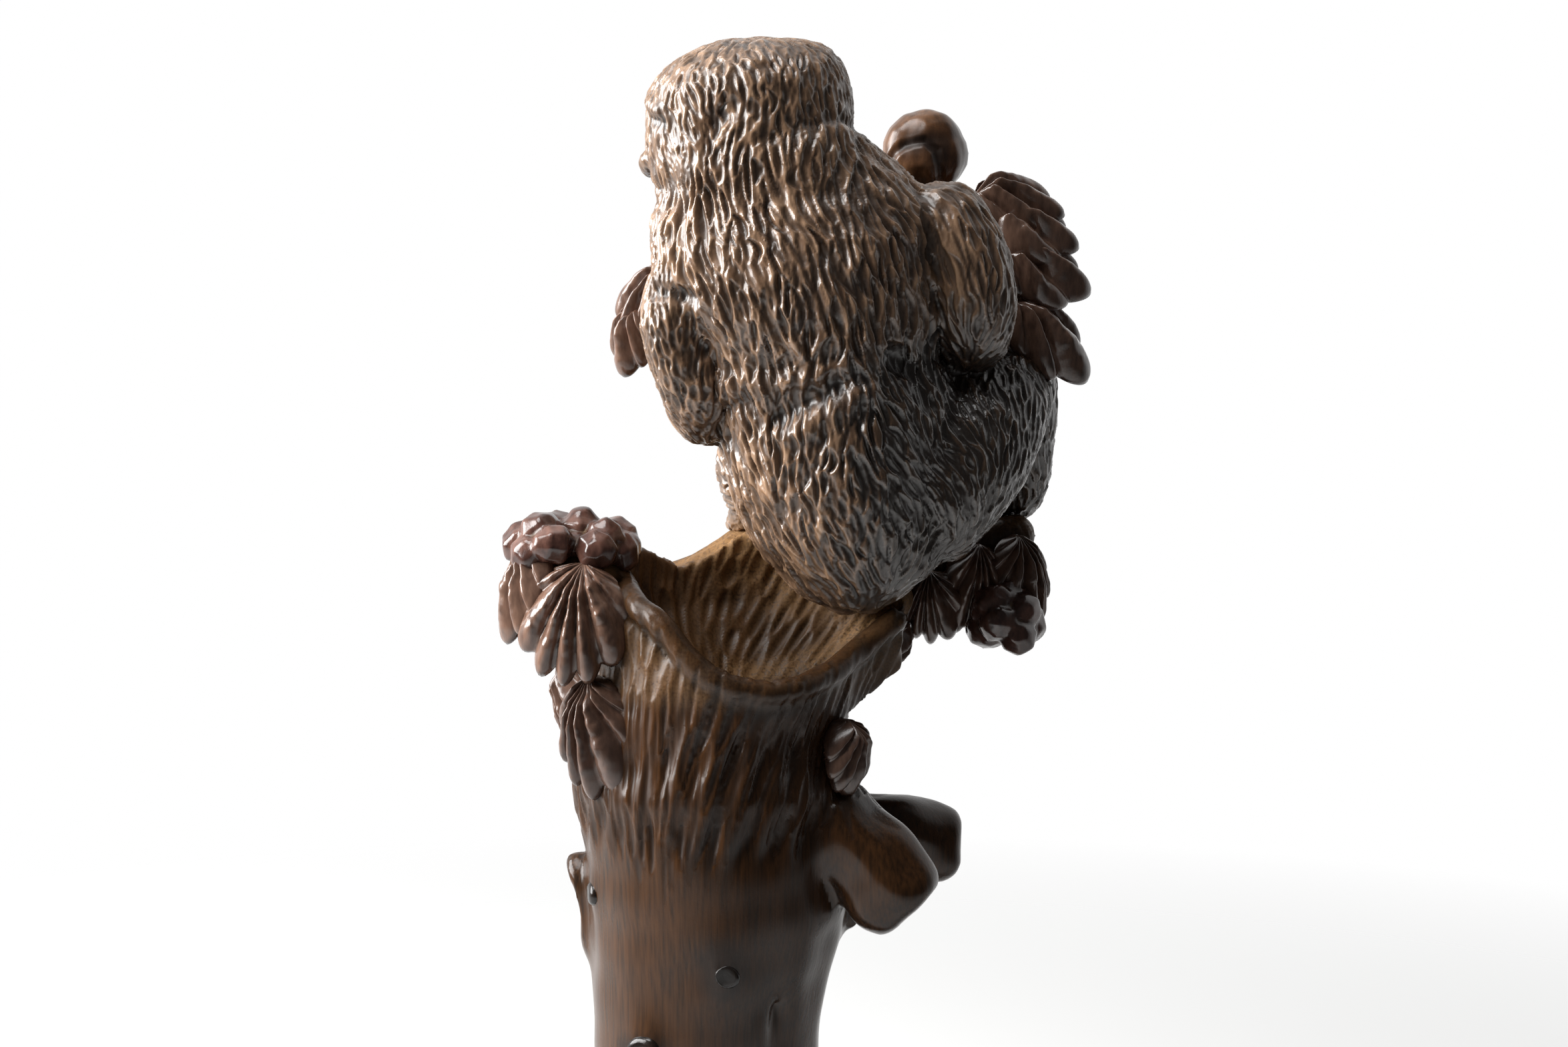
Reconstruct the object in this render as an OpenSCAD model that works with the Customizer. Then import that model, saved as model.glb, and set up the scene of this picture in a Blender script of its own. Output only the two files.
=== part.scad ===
// Carved wooden figurine: a monkey seated in the hollow fork of a trunk, holding the
// stem in front of it, with leaf sprays and fruit pegged on round it.
// The origin is the middle of the foot's flat underside. +Z is up, the figure's back
// faces -Y, and the head looks towards -X.

/* [Trunk] */
// Height of the hollow's front lip above the table
seat_height = 142; // [132:1:152]
// Width of the trunk halfway between waist and lip
trunk_width = 48; // [44:1:52]
// Width of the trunk at its narrow waist
waist_width = 41; // [37:1:45]
// Height of the waist above the table
waist_height = 74; // [66:1:80]
// Spread of the root foot
foot_width = 78; // [68:1:88]
// Height over which the roots flare out
foot_height = 30; // [24:1:36]
// Depth of the hollows between the roots
root_depth = 5; // [2:0.5:7]
// Width of the trunk's shoulder beside the figure
shoulder_width = 61; // [57:1:65]
// Width of the hollow
hollow_width = 56; // [52:1:60]
// Front to back size of the hollow
hollow_depth = 48; // [45:1:51]
// How far the hollow's floor lies under its front lip
hollow_sink = 3; // [1:0.5:5]
// Width of the short left arm of the fork
fork_width = 17; // [15:0.5:19]
// Number of gouge strokes in one row under the lip
stroke_count = 26; // [20:1:30]
// Length of a gouge stroke
stroke_length = 16; // [12:1:18]
// Width of a gouge stroke
stroke_width = 3.6; // [2.8:0.2:4.4]
// Depth of a gouge stroke
stroke_depth = 1; // [0.6:0.1:1.4]
// Depth of the long groove between the waist and the roots
groove_depth = 2.4; // [1:0.2:3]

/* [Stem] */
// Width of the stem where it leaves the trunk
stem_width = 20; // [18:0.5:22]
// Width of the stem at its top
stem_top_width = 14; // [12:0.5:16]
// Rise of the stem above the front lip
stem_rise = 87; // [83:1:91]
// Width of the side twigs at their root
twig_width = 8; // [7:0.5:9]
// Width of the branch under the right foot, at its root
branch_width = 12; // [11:0.5:14]

/* [Figure] */
// Height of the rump's underside above the front lip
rump_lift = 13.5; // [11:0.5:16]
// Width of the rump
rump_width = 43; // [40:1:46]
// Depth of the rump from back to belly
rump_depth = 38; // [35:1:41]
// Height of the rump
rump_height = 44; // [41:0.5:47]
// Height of the hip fold above the rump's underside
hip_height = 26.5; // [24:0.5:29]
// Width of the back across the shoulder blades
torso_width = 53; // [50:1:56]
// Depth of the torso from back to chest
torso_depth = 39; // [36:1:42]
// Height of the torso from hip fold to nape
torso_height = 58; // [54:1:62]
// Length of the head from face to nape
head_length = 37; // [34:0.5:40]
// Width of the head from ear to ear
head_width = 32; // [29:0.5:35]
// Height of the head from chin to crown
head_height = 31; // [28:0.5:34]
// How far the chin hangs below the nape
head_drop = 15.5; // [13:0.5:18]
// Turn of the face from straight ahead, towards the left
face_turn = 62; // [50:1:75]
// Width of the right upper arm
right_arm_width = 17; // [15:0.5:19]
// Width of the left upper arm
left_arm_width = 12.6; // [11:0.2:14]
// Width of the wrists
wrist_width = 10; // [9:0.5:11]
// Width of the right haunch
right_haunch_width = 32; // [29:0.5:35]
// Width of the left haunch
left_haunch_width = 25; // [22:0.5:28]
// Width of the knees
knee_width = 14; // [12:0.5:16]
// Width of the ankles
ankle_width = 10; // [9:0.5:11]

/* [Leaves and fruit] */
// Length of a full leaf
leaf_length = 21; // [18:0.5:24]
// Width of a full leaf
leaf_width = 18; // [15:0.5:21]
// Crown of a leaf above its edge
leaf_crown = 4.4; // [3:0.2:6]
// Thickness of a leaf under its edge
leaf_body = 2.6; // [1.6:0.2:4]
// Height of the ribs on a leaf
rib_height = 0.9; // [0.4:0.1:1.4]
// Width of one berry
berry_width = 8.4; // [7:0.2:10]
// Width of the fruit at the top of the stem
fruit_width = 15; // [13:0.5:17]
// Length of the fruit at the top of the stem
fruit_length = 15; // [13:0.5:18]

/* [Stubs and knots] */
// Width of the large front stub
front_stub_width = 18; // [16:0.5:20]
// Reach of the large front stub
front_stub_reach = 19; // [16:0.5:22]
// Width of the rear stub
rear_stub_width = 15; // [13:0.5:17]
// Reach of the rear stub
rear_stub_reach = 22.5; // [20:0.5:25]
// Width of the small stub under them
small_stub_width = 7; // [6:0.5:8]
// Width of the long left burl
burl_width = 10; // [8:0.5:12]
// Height of the long left burl
burl_height = 19; // [16:0.5:22]
// How far the polished knot plugs stand out
knot_stand = 1.2; // [0.6:0.2:2]

/* [Joinery] */
// Diameter of the round tenon under the stem
tenon_d = 9; // [8:0.5:10]
// Depth of the stem's tenon in the trunk
tenon_depth = 15; // [12:0.5:18]
// Diameter of the dowels inside the figure
dowel_d = 5; // [4:0.5:6]
// Length of a dowel on each side of its joint
dowel_reach = 8; // [6:0.5:10]
// Diameter of the pegs under leaves and fruit
peg_d = 2.4; // [1.8:0.2:3]
// Depth of those pegs in the wood that carries them
peg_depth = 4.5; // [3.5:0.5:6]
// Diameter of the tenons on twigs and stubs
stub_tenon_d = 5; // [4:0.5:6]
// Depth of the tenons on twigs and stubs
stub_tenon_depth = 6; // [4.5:0.5:7.5]
// How far a leaf's edge stands off the wood that carries it
leaf_stand = 1; // [0.6:0.1:1.4]
// Glue gap round every peg, dowel and tenon
glue_gap = 0.05; // [0.02:0.01:0.1]

/* [Hidden] */
$fn = 32;
DOME_RINGS = 2;
UP = [0, 0, 1];
RIGHT = [1, 0, 0];
AWAY = [0, 1, 0];

// Points and curves

function mix(a, b, t) = a + (b - a) * t;
function unit(v) = v / norm(v);
function place(row) = [row[0], row[1], row[2]];

// The smooth curve through a list of rows, at a share u of the way along it
function along(rows, u) =
    let (
        n = len(rows) - 1,
        i = min(floor(u * n), n - 1),
        t = u * n - i,
        a = rows[max(i - 1, 0)],
        b = rows[i],
        c = rows[i + 1],
        d = rows[min(i + 2, n)]
    )
    0.5 * (2 * b + (c - a) * t + (2 * a - 5 * b + 4 * c - d) * t * t
        + (3 * b - a - 3 * c + d) * t * t * t);

// The way along the curve
function heading(rows, u) =
    unit(place(along(rows, min(u + 0.01, 1))) - place(along(rows, max(u - 0.01, 0))));

// One point on the skin round a curve: angle 0 lies towards side. A level skin keeps its
// sections flat, and any other turns them square to the curve.
function on_skin(rows, u, side, angle, push = 0, swell = 1, level = false) =
    let (
        row = along(rows, u),
        t = level ? UP : heading(rows, u),
        s = unit(side - (side * t) * t),
        d = cross(t, s)
    )
    place(row) + t * push + (s * row[3] * cos(angle) + d * row[4] * sin(angle)) * swell;

// A closed skin over rows of [x, y, z, half width, half depth], with domed ends where
// low or high gives them a height. The swell function shapes the section.
module skin(rows, side, rings, sides, low = 0, high = 0, level = false,
    swell = function(angle, z) 1) {
    turns = [for (k = [0 : sides - 1]) 360 * k / sides];
    slopes = [for (k = [1 : DOME_RINGS]) 90 * k / (DOME_RINGS + 0.5)];
    function loop(u, push, share) =
        let (z = along(rows, u)[2])
        [for (a = turns) on_skin(rows, u, side, a, push, share * swell(a, z), level)];
    loops = concat(
        [for (k = [DOME_RINGS - 1 : -1 : 0]) if (low > 0)
            loop(0, -low * sin(slopes[k]), cos(slopes[k]))],
        [for (i = [0 : rings]) loop(i / rings, 0, 1)],
        [for (k = [0 : DOME_RINGS - 1]) if (high > 0)
            loop(1, high * sin(slopes[k]), cos(slopes[k]))]
    );
    last = (len(loops) - 1) * sides;
    poles = [
        place(rows[0]) - (level ? UP : heading(rows, 0)) * low,
        place(rows[len(rows) - 1]) + (level ? UP : heading(rows, 1)) * high,
    ];
    faces = concat(
        [for (i = [0 : len(loops) - 2]) for (k = [0 : sides - 1])
            let (a = i * sides + k, b = i * sides + (k + 1) % sides)
            each [[a, a + sides, b], [b, a + sides, b + sides]]],
        [for (k = [0 : sides - 1]) [last + sides, k, (k + 1) % sides]],
        [for (k = [0 : sides - 1]) [last + sides + 1, last + (k + 1) % sides, last + k]]
    );
    polyhedron(concat([for (l = loops) each l], poles), faces);
}

// An egg of the given half sizes
module egg(centre, half, sides = 16) {
    rows = [for (t = [-0.8, -0.4, 0, 0.4, 0.8])
        let (r = sqrt(1 - t * t))
        [centre[0], centre[1], centre[2] + t * half[2], half[0] * r, half[1] * r]];
    skin(rows, RIGHT, ceil(sides / 3), sides, low = 0.2 * half[2], high = 0.2 * half[2]);
}

// A round pin from a point along a way, widened all round by gap
module pin(start, way, d, length, gap = 0) {
    across = cross(UP, way);
    turn = acos(unit(way)[2]);
    translate(start) rotate(turn, norm(across) < 0.001 ? RIGHT : across) translate([0, 0, -gap])
        cylinder(d = d + 2 * gap, h = length + 2 * gap);
}

// Trunk: a lobed root foot, a waist, a swelling shoulder and the short left fork arm

mid_height = mix(waist_height, seat_height, 0.5);
waist = waist_width / 2;
foot_half_depth = 0.46 * foot_width;
trunk_rows = [
    [0, 0, 0, 0.5 * foot_width, foot_half_depth],
    [-0.5, 0, 0.22 * foot_height, 0.43 * foot_width, 0.40 * foot_width],
    [-1.5, 0, 0.6 * foot_height, mix(waist, foot_width / 2, 0.38), mix(waist, foot_half_depth, 0.38)],
    [-3.5, 0, 1.2 * foot_height, 1.1 * waist, 1.08 * waist],
    [-5.5, 0, waist_height, waist, waist],
    [-2.8, 0, mix(waist_height, mid_height, 0.64), 0.485 * trunk_width, 0.475 * trunk_width],
    [-3.4, 0, mid_height + 2, 0.5 * trunk_width, 0.49 * trunk_width],
    [-3.4, 0, seat_height - 21, 0.54 * trunk_width, 0.5 * trunk_width],
    [-3.6, 0.5, seat_height - 7, 0.51 * trunk_width, 0.5 * trunk_width],
    [0, 2, seat_height + 4, 0.435 * shoulder_width, 0.43 * shoulder_width],
    [2, 4, seat_height + 13, 0.5 * shoulder_width, 0.40 * shoulder_width],
    [8, 11, seat_height + 18.5, 0.29 * shoulder_width, 0.26 * shoulder_width],
    [11, 16.5, seat_height + 23.5, 0.19 * shoulder_width, 0.18 * shoulder_width],
];
fork_rows = [
    [-6, 6, seat_height + 5, 0.55 * fork_width, 0.6 * fork_width],
    [-17, 2, seat_height + 13, 0.52 * fork_width, 0.55 * fork_width],
    [-25, -1, seat_height + 17, 0.5 * fork_width, 0.5 * fork_width],
    [-31, -2, seat_height + 19, 0.46 * fork_width, 0.46 * fork_width],
];
hollow_half = [hollow_width / 2, hollow_depth / 2, hollow_depth / 2];
hollow_centre = [7, -13, seat_height - hollow_sink + hollow_half[2]];

root_lobes = function(angle, z)
    let (fade = pow(max(0, 1 - z / (1.4 * foot_height)), 1.5))
    1 - 2 * root_depth / foot_width * fade * (1 + cos(5 * angle + 40)) + 0.012 * sin(3 * angle + 2.4 * z);

// A point on the trunk's surface at a height, and the way out of the wood there
function trunk_size(z, k) = lookup(z, [for (r = trunk_rows) [r[2], r[k]]]);
function out_of_trunk(angle) = [cos(angle), sin(angle), 0];
function on_trunk(angle, z, out = 0) = [
    trunk_size(z, 0) + (trunk_size(z, 3) + out) * cos(angle),
    trunk_size(z, 1) + (trunk_size(z, 4) + out) * sin(angle),
    z,
];

module trunk_form() {
    difference() {
        union() {
            skin(trunk_rows, RIGHT, 36, 30, high = 3, level = true, swell = root_lobes);
            skin(fork_rows, UP, 6, 16, low = 3, high = 4);
        }
        egg(hollow_centre, hollow_half, 24);
    }
}

// A lens-shaped cut at a spot: its length runs along a way, its depth against the way out
module gouge(spot, out, way, length, width, depth) {
    z = unit(out);
    x = unit(way - (way * z) * z);
    y = cross(z, x);
    multmatrix([for (k = [0 : 2]) [x[k], y[k], z[k], spot[k]]])
        scale([length / 2, width / 2, depth]) sphere(1, $fn = 8);
}

// Two staggered rows of strokes under the lip lean with the grain, broad ones dress the
// hollow's floor, and one long groove runs down the waist
stroke_lean = 0.3;
row_drops = [0.8, 1.6];
floor_strokes = 6;
floor_lean = [0.5, 1, 0];
groove_angle = 312;
groove_length = 52;
groove_width = 8;
module trunk_stroke(angle, z, lean, length, width, depth) {
    rise = unit(on_trunk(angle, z + 1) - on_trunk(angle, z - 1));
    around = [-sin(angle), cos(angle), 0];
    gouge(on_trunk(angle, z), cross(around, rise), rise + lean * around, length, width, depth);
}
function on_floor(x, y) =
    let (a = (x - hollow_centre[0]) / hollow_half[0], b = (y - hollow_centre[1]) / hollow_half[1])
    [x, y, hollow_centre[2] - hollow_half[2] * sqrt(1 - a * a - b * b)];
module trunk_strokes() {
    for (row = [0 : 1], i = [0 : stroke_count - 1])
        trunk_stroke((i + row / 2) * 360 / stroke_count, seat_height - row_drops[row] * stroke_length,
            stroke_lean, stroke_length, stroke_width, stroke_depth);
    for (i = [0 : floor_strokes - 1]) {
        spot = on_floor(hollow_centre[0] + mix(-0.55, 0.5, i / (floor_strokes - 1)) * hollow_half[0],
            hollow_centre[1] + 0.2 * hollow_half[1]);
        gouge(spot, hollow_centre - spot, floor_lean, stroke_length, 1.2 * stroke_width, stroke_depth);
    }
    trunk_stroke(groove_angle, waist_height - 0.1 * groove_length, 0,
        groove_length, groove_width, groove_depth);
}

// Stem, twigs and the branch under the right foot

function taper(t) = mix(stem_width / 2, stem_top_width / 2, t);
stem_rows = [for (r = [
        [11, 17.5, 20, 0],
        [11.2, 18.5, 32, 0.05],
        [13, 21, 46, 0.15],
        [18, 24, 0.7 * stem_rise, 0.35],
        [25, 26.5, 0.87 * stem_rise, 0.75],
        [31, 28, stem_rise, 1],
    ])
    [r[0], r[1], seat_height + r[2], taper(r[3]), taper(r[3])]];
stem_foot = place(stem_rows[0]);
stem_top = place(stem_rows[5]);

// A twig that starts on the stem's axis and passes the given points
function twig_rows(u, points) =
    let (root = place(along(stem_rows, u)), n = len(points))
    [for (i = [0 : n])
        let (r = twig_width * mix(0.5, 0.36, i / n))
        concat(root + (i == 0 ? [0, 0, 0] : points[i - 1]), [r, r])];
right_twig_at = 0.86;
left_twig_at = 0.66;
right_twig_rows = twig_rows(right_twig_at,
    [[9, -0.7, 1], [15, -3, 3], [20, -6, 0.5], [22.5, -9, -8.5], [23, -11, -19.5]]);
left_twig_rows = twig_rows(left_twig_at,
    [[-13, 2, 5], [-26, -3, 5], [-33, -9, 3], [-35, -10, -3]]);
branch_sink = 4;
branch_root = on_trunk(32, seat_height + 9, -branch_sink);
branch_rows = [for (r = [[0, 0, 0, 0.5], [9, 2, 4.5, 0.46], [20, 4, 10.5, 0.4], [30.5, 4, 13.5, 0.34]])
    concat(branch_root + place(r), [r[3] * branch_width, r[3] * branch_width])];

// Figure: rump, torso, head and limbs, all placed from the seat

seat = [22, -1, seat_height + rump_lift];
hip = seat + [0, 0, hip_height];
nape = hip + [-19, 2, torso_height - head_drop];

// Rows of a body part: shift, then height, width and depth as shares of its size
function body_rows(foot, size, shares) =
    [for (r = shares)
        concat(foot + [r[0], r[1], r[2] * size[2]], [r[3] * size[0], r[4] * size[1]])];
rump_rows = body_rows(seat, [rump_width, rump_depth, rump_height], [
    [1, 1, 0, 0.16, 0.21],
    [0.5, 0.5, 0.085, 0.30, 0.32],
    [0, 0, 0.23, 0.40, 0.42],
    [-1.5, -0.5, 0.42, 0.465, 0.475],
    [-3, -0.5, 0.64, 0.5, 0.5],
    [-4, -0.5, 0.83, 0.49, 0.49],
    [-4.8, 0, 1, 0.42, 0.42],
]);
torso_rows = body_rows(hip, [torso_width, torso_depth, torso_height], [
    [-4, 0, 0, 0.28, 0.33],
    [-5, 0, 0.10, 0.33, 0.37],
    [-6.3, -0.5, 0.24, 0.375, 0.40],
    [-8.8, -2, 0.41, 0.445, 0.485],
    [-10.8, -2, 0.57, 0.485, 0.49],
    [-11, -1, 0.71, 0.49, 0.46],
    [-11.5, 0.5, 0.83, 0.425, 0.42],
    [-13, 2, 0.93, 0.32, 0.37],
    [-14.5, 3, 1, 0.255, 0.335],
]);
head_rows = body_rows(nape, [head_length, head_width, head_height], [
    [-4, 0, 0, 0.31, 0.34],
    [-2.5, 0, 0.155, 0.40, 0.42],
    [-1, 0, 0.34, 0.475, 0.475],
    [-0.2, -0.5, 0.525, 0.5, 0.5],
    [0.2, -1, 0.71, 0.485, 0.5],
    [1, -1, 0.85, 0.425, 0.44],
    [2.5, -1, 0.94, 0.32, 0.34],
]);

// Points on the face: forward of the skull, across to the right cheek, and up by a share of
// the head's height
face = [-sin(face_turn), cos(face_turn), 0];
cheek = [cos(face_turn), sin(face_turn), 0];
function on_face(forward, across, up) =
    nape - RIGHT + face * (head_length / 2 - 2.4 + forward) + cheek * across + UP * up * head_height;
eye_up = 0.59;
eye_across = 5;

module muzzle() {
    rows = [for (r = [[-10, 9], [-4, 8], [0, 6.6], [2, 4.6]])
        concat(on_face(r[0], 0, 0.31), [r[1], 0.72 * r[1]])];
    skin(rows, cheek, 5, 14, high = 1);
}

module brow() {
    steps = [[-3.6, -10.5, 1.6], [-1.4, -5, 2.6], [-1.2, 0, 2.4], [-1.4, 5, 2.6], [-3.6, 10.5, 1.6]];
    rows = [for (r = steps)
        concat(on_face(r[0], r[1], 0.66), [r[2], r[2]])];
    skin(rows, UP, 8, 8, low = 1, high = 1);
}

module ear(across) {
    root = nape + cheek * across * (head_width / 2 - 1.5) + UP * 0.56 * head_height + face * 3;
    rows = [for (r = [[-1, 3], [1, 3.2], [2.4, 2.4]])
        concat(root + cheek * across * r[0] - face * 0.5 * r[0], [r[1], 0.72 * r[1]])];
    skin(rows, UP, 2, 10, high = 0.8);
}

module head_form() {
    difference() {
        union() {
            skin(head_rows, RIGHT, 12, 22, low = 3, high = 2, level = true);
            muzzle();
            brow();
            ear(-1);
            ear(1);
        }
        for (side = [-1, 1]) egg(on_face(0.6, side * eye_across, eye_up), [3, 3, 2.2], 8);
    }
    for (side = [-1, 1]) egg(on_face(-2.4, side * eye_across, eye_up), [2.6, 2.6, 2.2], 8);
}

// Rows of a limb: steps from its root, then half width and half depth
function limb_rows(root, steps) = [for (p = steps) concat(root + place(p), [p[3], p[4]])];

right_shoulder = hip + [-11 + torso_width / 2, 0, 0.70 * torso_height];
left_shoulder = hip + [-11 - torso_width / 2, 0, 0.57 * torso_height];
right_upper = right_arm_width / 2;
left_upper = left_arm_width / 2;
wrist = wrist_width / 2;
right_arm_rows = limb_rows(right_shoulder, [
    [-1, -1, 1, right_upper, right_upper],
    [3.5, -2.5, -7, right_upper, right_upper],
    [5, -2, -15, 0.94 * right_upper, 0.94 * right_upper],
    [5, 3, -20, 0.8 * right_upper, 0.8 * right_upper],
    [3.5, 14, -15.5, 1.2 * wrist, 1.2 * wrist],
    [-3.5, 25, -10.5, wrist, wrist],
    [-10, 33, -8, 1.1 * wrist, 0.8 * wrist],
    [-17, 36, -8, 0.9 * wrist, 0.6 * wrist],
]);
left_arm_rows = limb_rows(left_shoulder, [
    [7, -6, -1, left_upper, left_upper],
    [5, -7, -9, left_upper, left_upper],
    [7.5, -6, -19, 0.95 * left_upper, 0.95 * left_upper],
    [11, -1, -27, 0.9 * left_upper, 0.9 * left_upper],
    [13.5, 11, -20, 1.05 * wrist, 1.05 * wrist],
    [19, 24, -15, wrist, wrist],
    [25, 33, -12, 1.1 * wrist, 0.8 * wrist],
    [32, 36, -11, 0.9 * wrist, 0.6 * wrist],
]);

right_haunch = right_haunch_width / 2;
left_haunch = left_haunch_width / 2;
knee = knee_width / 2;
ankle = ankle_width / 2;
right_thigh_rows = limb_rows(seat, [
    [9, 1, 19.5, right_haunch, 0.94 * right_haunch],
    [18, 4, 26.5, 0.87 * right_haunch, 0.87 * right_haunch],
    [26, 10, 34.5, mix(knee, right_haunch, 0.36), mix(knee, right_haunch, 0.36)],
    [30, 15, 38.5, knee, knee],
]);
right_shin_rows = limb_rows(seat, [
    [30.5, 15, 38, 0.95 * knee, 0.95 * knee],
    [31, 20, 26.5, 0.9 * knee, 0.9 * knee],
    [31, 23, 17, ankle, ankle],
    [26, 25, 13, ankle, 0.8 * ankle],
    [19, 28, 11, 0.9 * ankle, 0.6 * ankle],
]);
left_thigh_rows = limb_rows(seat, [
    [-6, 4, 21, left_haunch, left_haunch],
    [-13, 7, 25.5, mix(knee, left_haunch, 0.45), mix(knee, left_haunch, 0.45)],
    [-19, 10.5, 27, 0.92 * knee, 0.92 * knee],
]);
left_shin_rows = limb_rows(seat, [
    [-19, 10.5, 27, 0.9 * knee, 0.9 * knee],
    [-20, 12, 21, 0.82 * knee, 0.82 * knee],
    [-18.5, 13.5, 15, ankle, ankle],
    [-19, 17, 12, ankle, 0.8 * ankle],
    [-20, 24, 11, 0.9 * ankle, 0.6 * ankle],
]);

module right_leg_form() {
    skin(right_thigh_rows, UP, 10, 18, low = 8, high = 6);
    skin(right_shin_rows, RIGHT, 13, 12, low = 5, high = 3);
}

module left_leg_form() {
    skin(left_thigh_rows, UP, 8, 16, low = 6, high = 5);
    skin(left_shin_rows, RIGHT, 13, 12, low = 4, high = 3);
}

// Stubs and burl on the trunk: name, foot on the bark, way out, reach, half width, half height

STUBS = [
    ["front_stub", on_trunk(338, mid_height + 6), [0.70, -0.16, -0.70], front_stub_reach,
        front_stub_width / 2, front_stub_width / 2],
    ["rear_stub", on_trunk(18, mid_height + 2.5), [0.95, 0.16, -0.12], rear_stub_reach,
        rear_stub_width / 2, rear_stub_width / 2],
    ["small_stub", on_trunk(10, mid_height - 11), [0.9, 0.1, -0.35], 0.6 * small_stub_width,
        small_stub_width / 2, small_stub_width / 2],
    ["left_burl", on_trunk(172, mid_height - 10), [-0.96, 0.1, -0.2], 0.42 * burl_width,
        burl_width / 2, burl_height / 2],
];
stub_sink = 5;
stub_bumps = function(angle, z) 1 + 0.05 * sin(3 * angle) + 0.03 * cos(5 * angle);

module stub_form(stub) {
    way = unit(stub[2]);
    reach = stub[3];
    rows = [for (r = [[-stub_sink, 0.92], [0.3 * reach, 1], [0.75 * reach, 0.97], [reach - 1.5, 0.8]])
        concat(stub[1] + way * r[0], [r[1] * stub[5], r[1] * stub[4]])];
    skin(rows, UP, 6, 14, high = 1.5, swell = stub_bumps);
}

// Fruit: heaps of berries on a spiral round a middle, and one large fruit on top of the stem

// Heaps: name, what carries it, middle, half sizes, number of berries, foot of its stalk
HEAPS = [
    ["left_berries", "trunk", place(along(fork_rows, 0.9)) + [0.5, -2, 5], [9, 6.5, 2.6], 11,
        place(along(fork_rows, 0.88))],
    ["foot_berries", "foot_spray_outer_leaf", place(along(branch_rows, 0.93)) + [-1.5, -10, -14.5],
        [3.6, 3.2, 4.2], 8, place(along(branch_rows, 0.97)) + [0, -5, -12]],
];
fruit_at = stem_top + [4, -1.5, 5.5];
GOLDEN_TURN = 137.5;

function berry_at(heap, k) =
    let (h = 1 - 1.5 * (k + 0.5) / heap[4], r = sqrt(1 - h * h), a = GOLDEN_TURN * k + 60)
    heap[2] + [heap[3][0] * r * cos(a), heap[3][1] * r * sin(a), heap[3][2] * h];

module berries_form(heap) {
    for (k = [0 : heap[4] - 1])
        translate(berry_at(heap, k)) rotate([40 * k, 25 * k, 0])
            sphere(d = berry_width * (1 + 0.1 * sin(150 * k)), $fn = 8);
    egg(heap[2], heap[3], 10);
}

// Leaves: name, what carries it, where its peg enters the wood, the way of the blade,
// the way out of it, and its length and width as shares of a full leaf

LEAVES = [
    ["left_spray_upper_leaf", "trunk", on_skin(fork_rows, 0.80, UP, 275),
        [-0.18, -0.22, -0.96], [-0.2, -0.93, 0.3], 1, 1.12],
    ["left_spray_lower_leaf", "trunk", on_trunk(209, seat_height - 1),
        [0.04, -0.1, -0.99], [-0.55, -0.83, 0.1], 1.02, 0.84],
    ["left_spray_outer_leaf", "trunk", on_skin(fork_rows, 1, UP, 290, 3, 0.5),
        [-0.42, 0.02, -0.9], [-0.85, -0.3, 0.42], 0.86, 0.75],
    ["left_spray_tucked_leaf", "trunk", on_trunk(186, seat_height + 1),
        [0.02, -0.05, -0.99], [-0.97, -0.2, 0.1], 0.85, 0.7],
    ["right_rim_leaf", "trunk", on_trunk(14, seat_height + 8),
        [-0.58, -0.05, -0.81], [0.8, -0.15, -0.57], 0.8, 0.7],
    ["right_side_leaf", "trunk", on_trunk(331, seat_height - 8),
        [0.12, 0.02, -0.99], [0.85, -0.5, 0.1], 0.66, 0.6],
    ["foot_spray_outer_leaf", "foot_branch", on_skin(branch_rows, 0.91, AWAY, 195),
        [0.1, -0.1, -0.98], [0.5, -0.85, 0.1], 0.86, 0.64],
    ["foot_spray_middle_leaf", "foot_branch", on_skin(branch_rows, 0.72, AWAY, 190),
        [-0.1, -0.12, -0.98], [0.1, -0.98, 0.1], 0.8, 0.66],
    ["foot_spray_inner_leaf", "foot_branch", on_skin(branch_rows, 0.45, AWAY, 190),
        [0.05, -0.1, -0.98], [-0.15, -0.95, 0.1], 0.62, 0.66],
    ["upper_right_fourth_leaf", "right_twig", on_skin(right_twig_rows, 0.94, AWAY, 180),
        [0.75, -0.08, -0.65], [0.5, -0.7, 0.5], 0.94, 0.66],
    ["upper_right_third_leaf", "right_twig", on_skin(right_twig_rows, 0.80, AWAY, 180),
        [0.9, -0.05, -0.35], [0.3, -0.7, 0.64], 0.78, 0.62],
    ["upper_right_second_leaf", "right_twig", on_skin(right_twig_rows, 0.68, AWAY, 180),
        [0.95, -0.1, -0.22], [0.15, -0.65, 0.74], 0.74, 0.62],
    ["upper_right_first_leaf", "right_twig", on_skin(right_twig_rows, 0.56, AWAY, 180),
        [0.95, -0.12, -0.06], [0.1, -0.6, 0.79], 0.8, 0.62],
    ["upper_left_lower_leaf", "left_twig", on_skin(left_twig_rows, 0.97, AWAY, 190),
        [-0.36, -0.1, -0.92], [-0.7, -0.65, 0.3], 0.6, 0.5],
    ["upper_left_upper_leaf", "left_twig", on_skin(left_twig_rows, 0.74, AWAY, 170),
        [-0.72, -0.15, -0.67], [-0.5, -0.7, 0.5], 0.68, 0.56],
    ["top_leaf", "upper_stem", on_skin(stem_rows, 0.97, RIGHT, 75),
        [0.18, 0.2, 0.96], [0.3, 0.9, -0.2], 0.84, 0.72],
];
LEAF_ROWS = 7;
LEAF_COLUMNS = 12;
LEAF_PEG_AT = 0.12;
// Where a peg starts inside the blade, above the leaf's edge
leaf_core = 0.4 * leaf_crown;

function names(list) = [for (item = list) item[0]];
function leaf_axes(leaf) =
    let (x = unit(leaf[3]), z = unit(leaf[4] - (leaf[4] * x) * x))
    [x, cross(z, x), z];
function leaf_peg(leaf) = leaf[2] + leaf_axes(leaf)[2] * leaf_stand;

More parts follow.
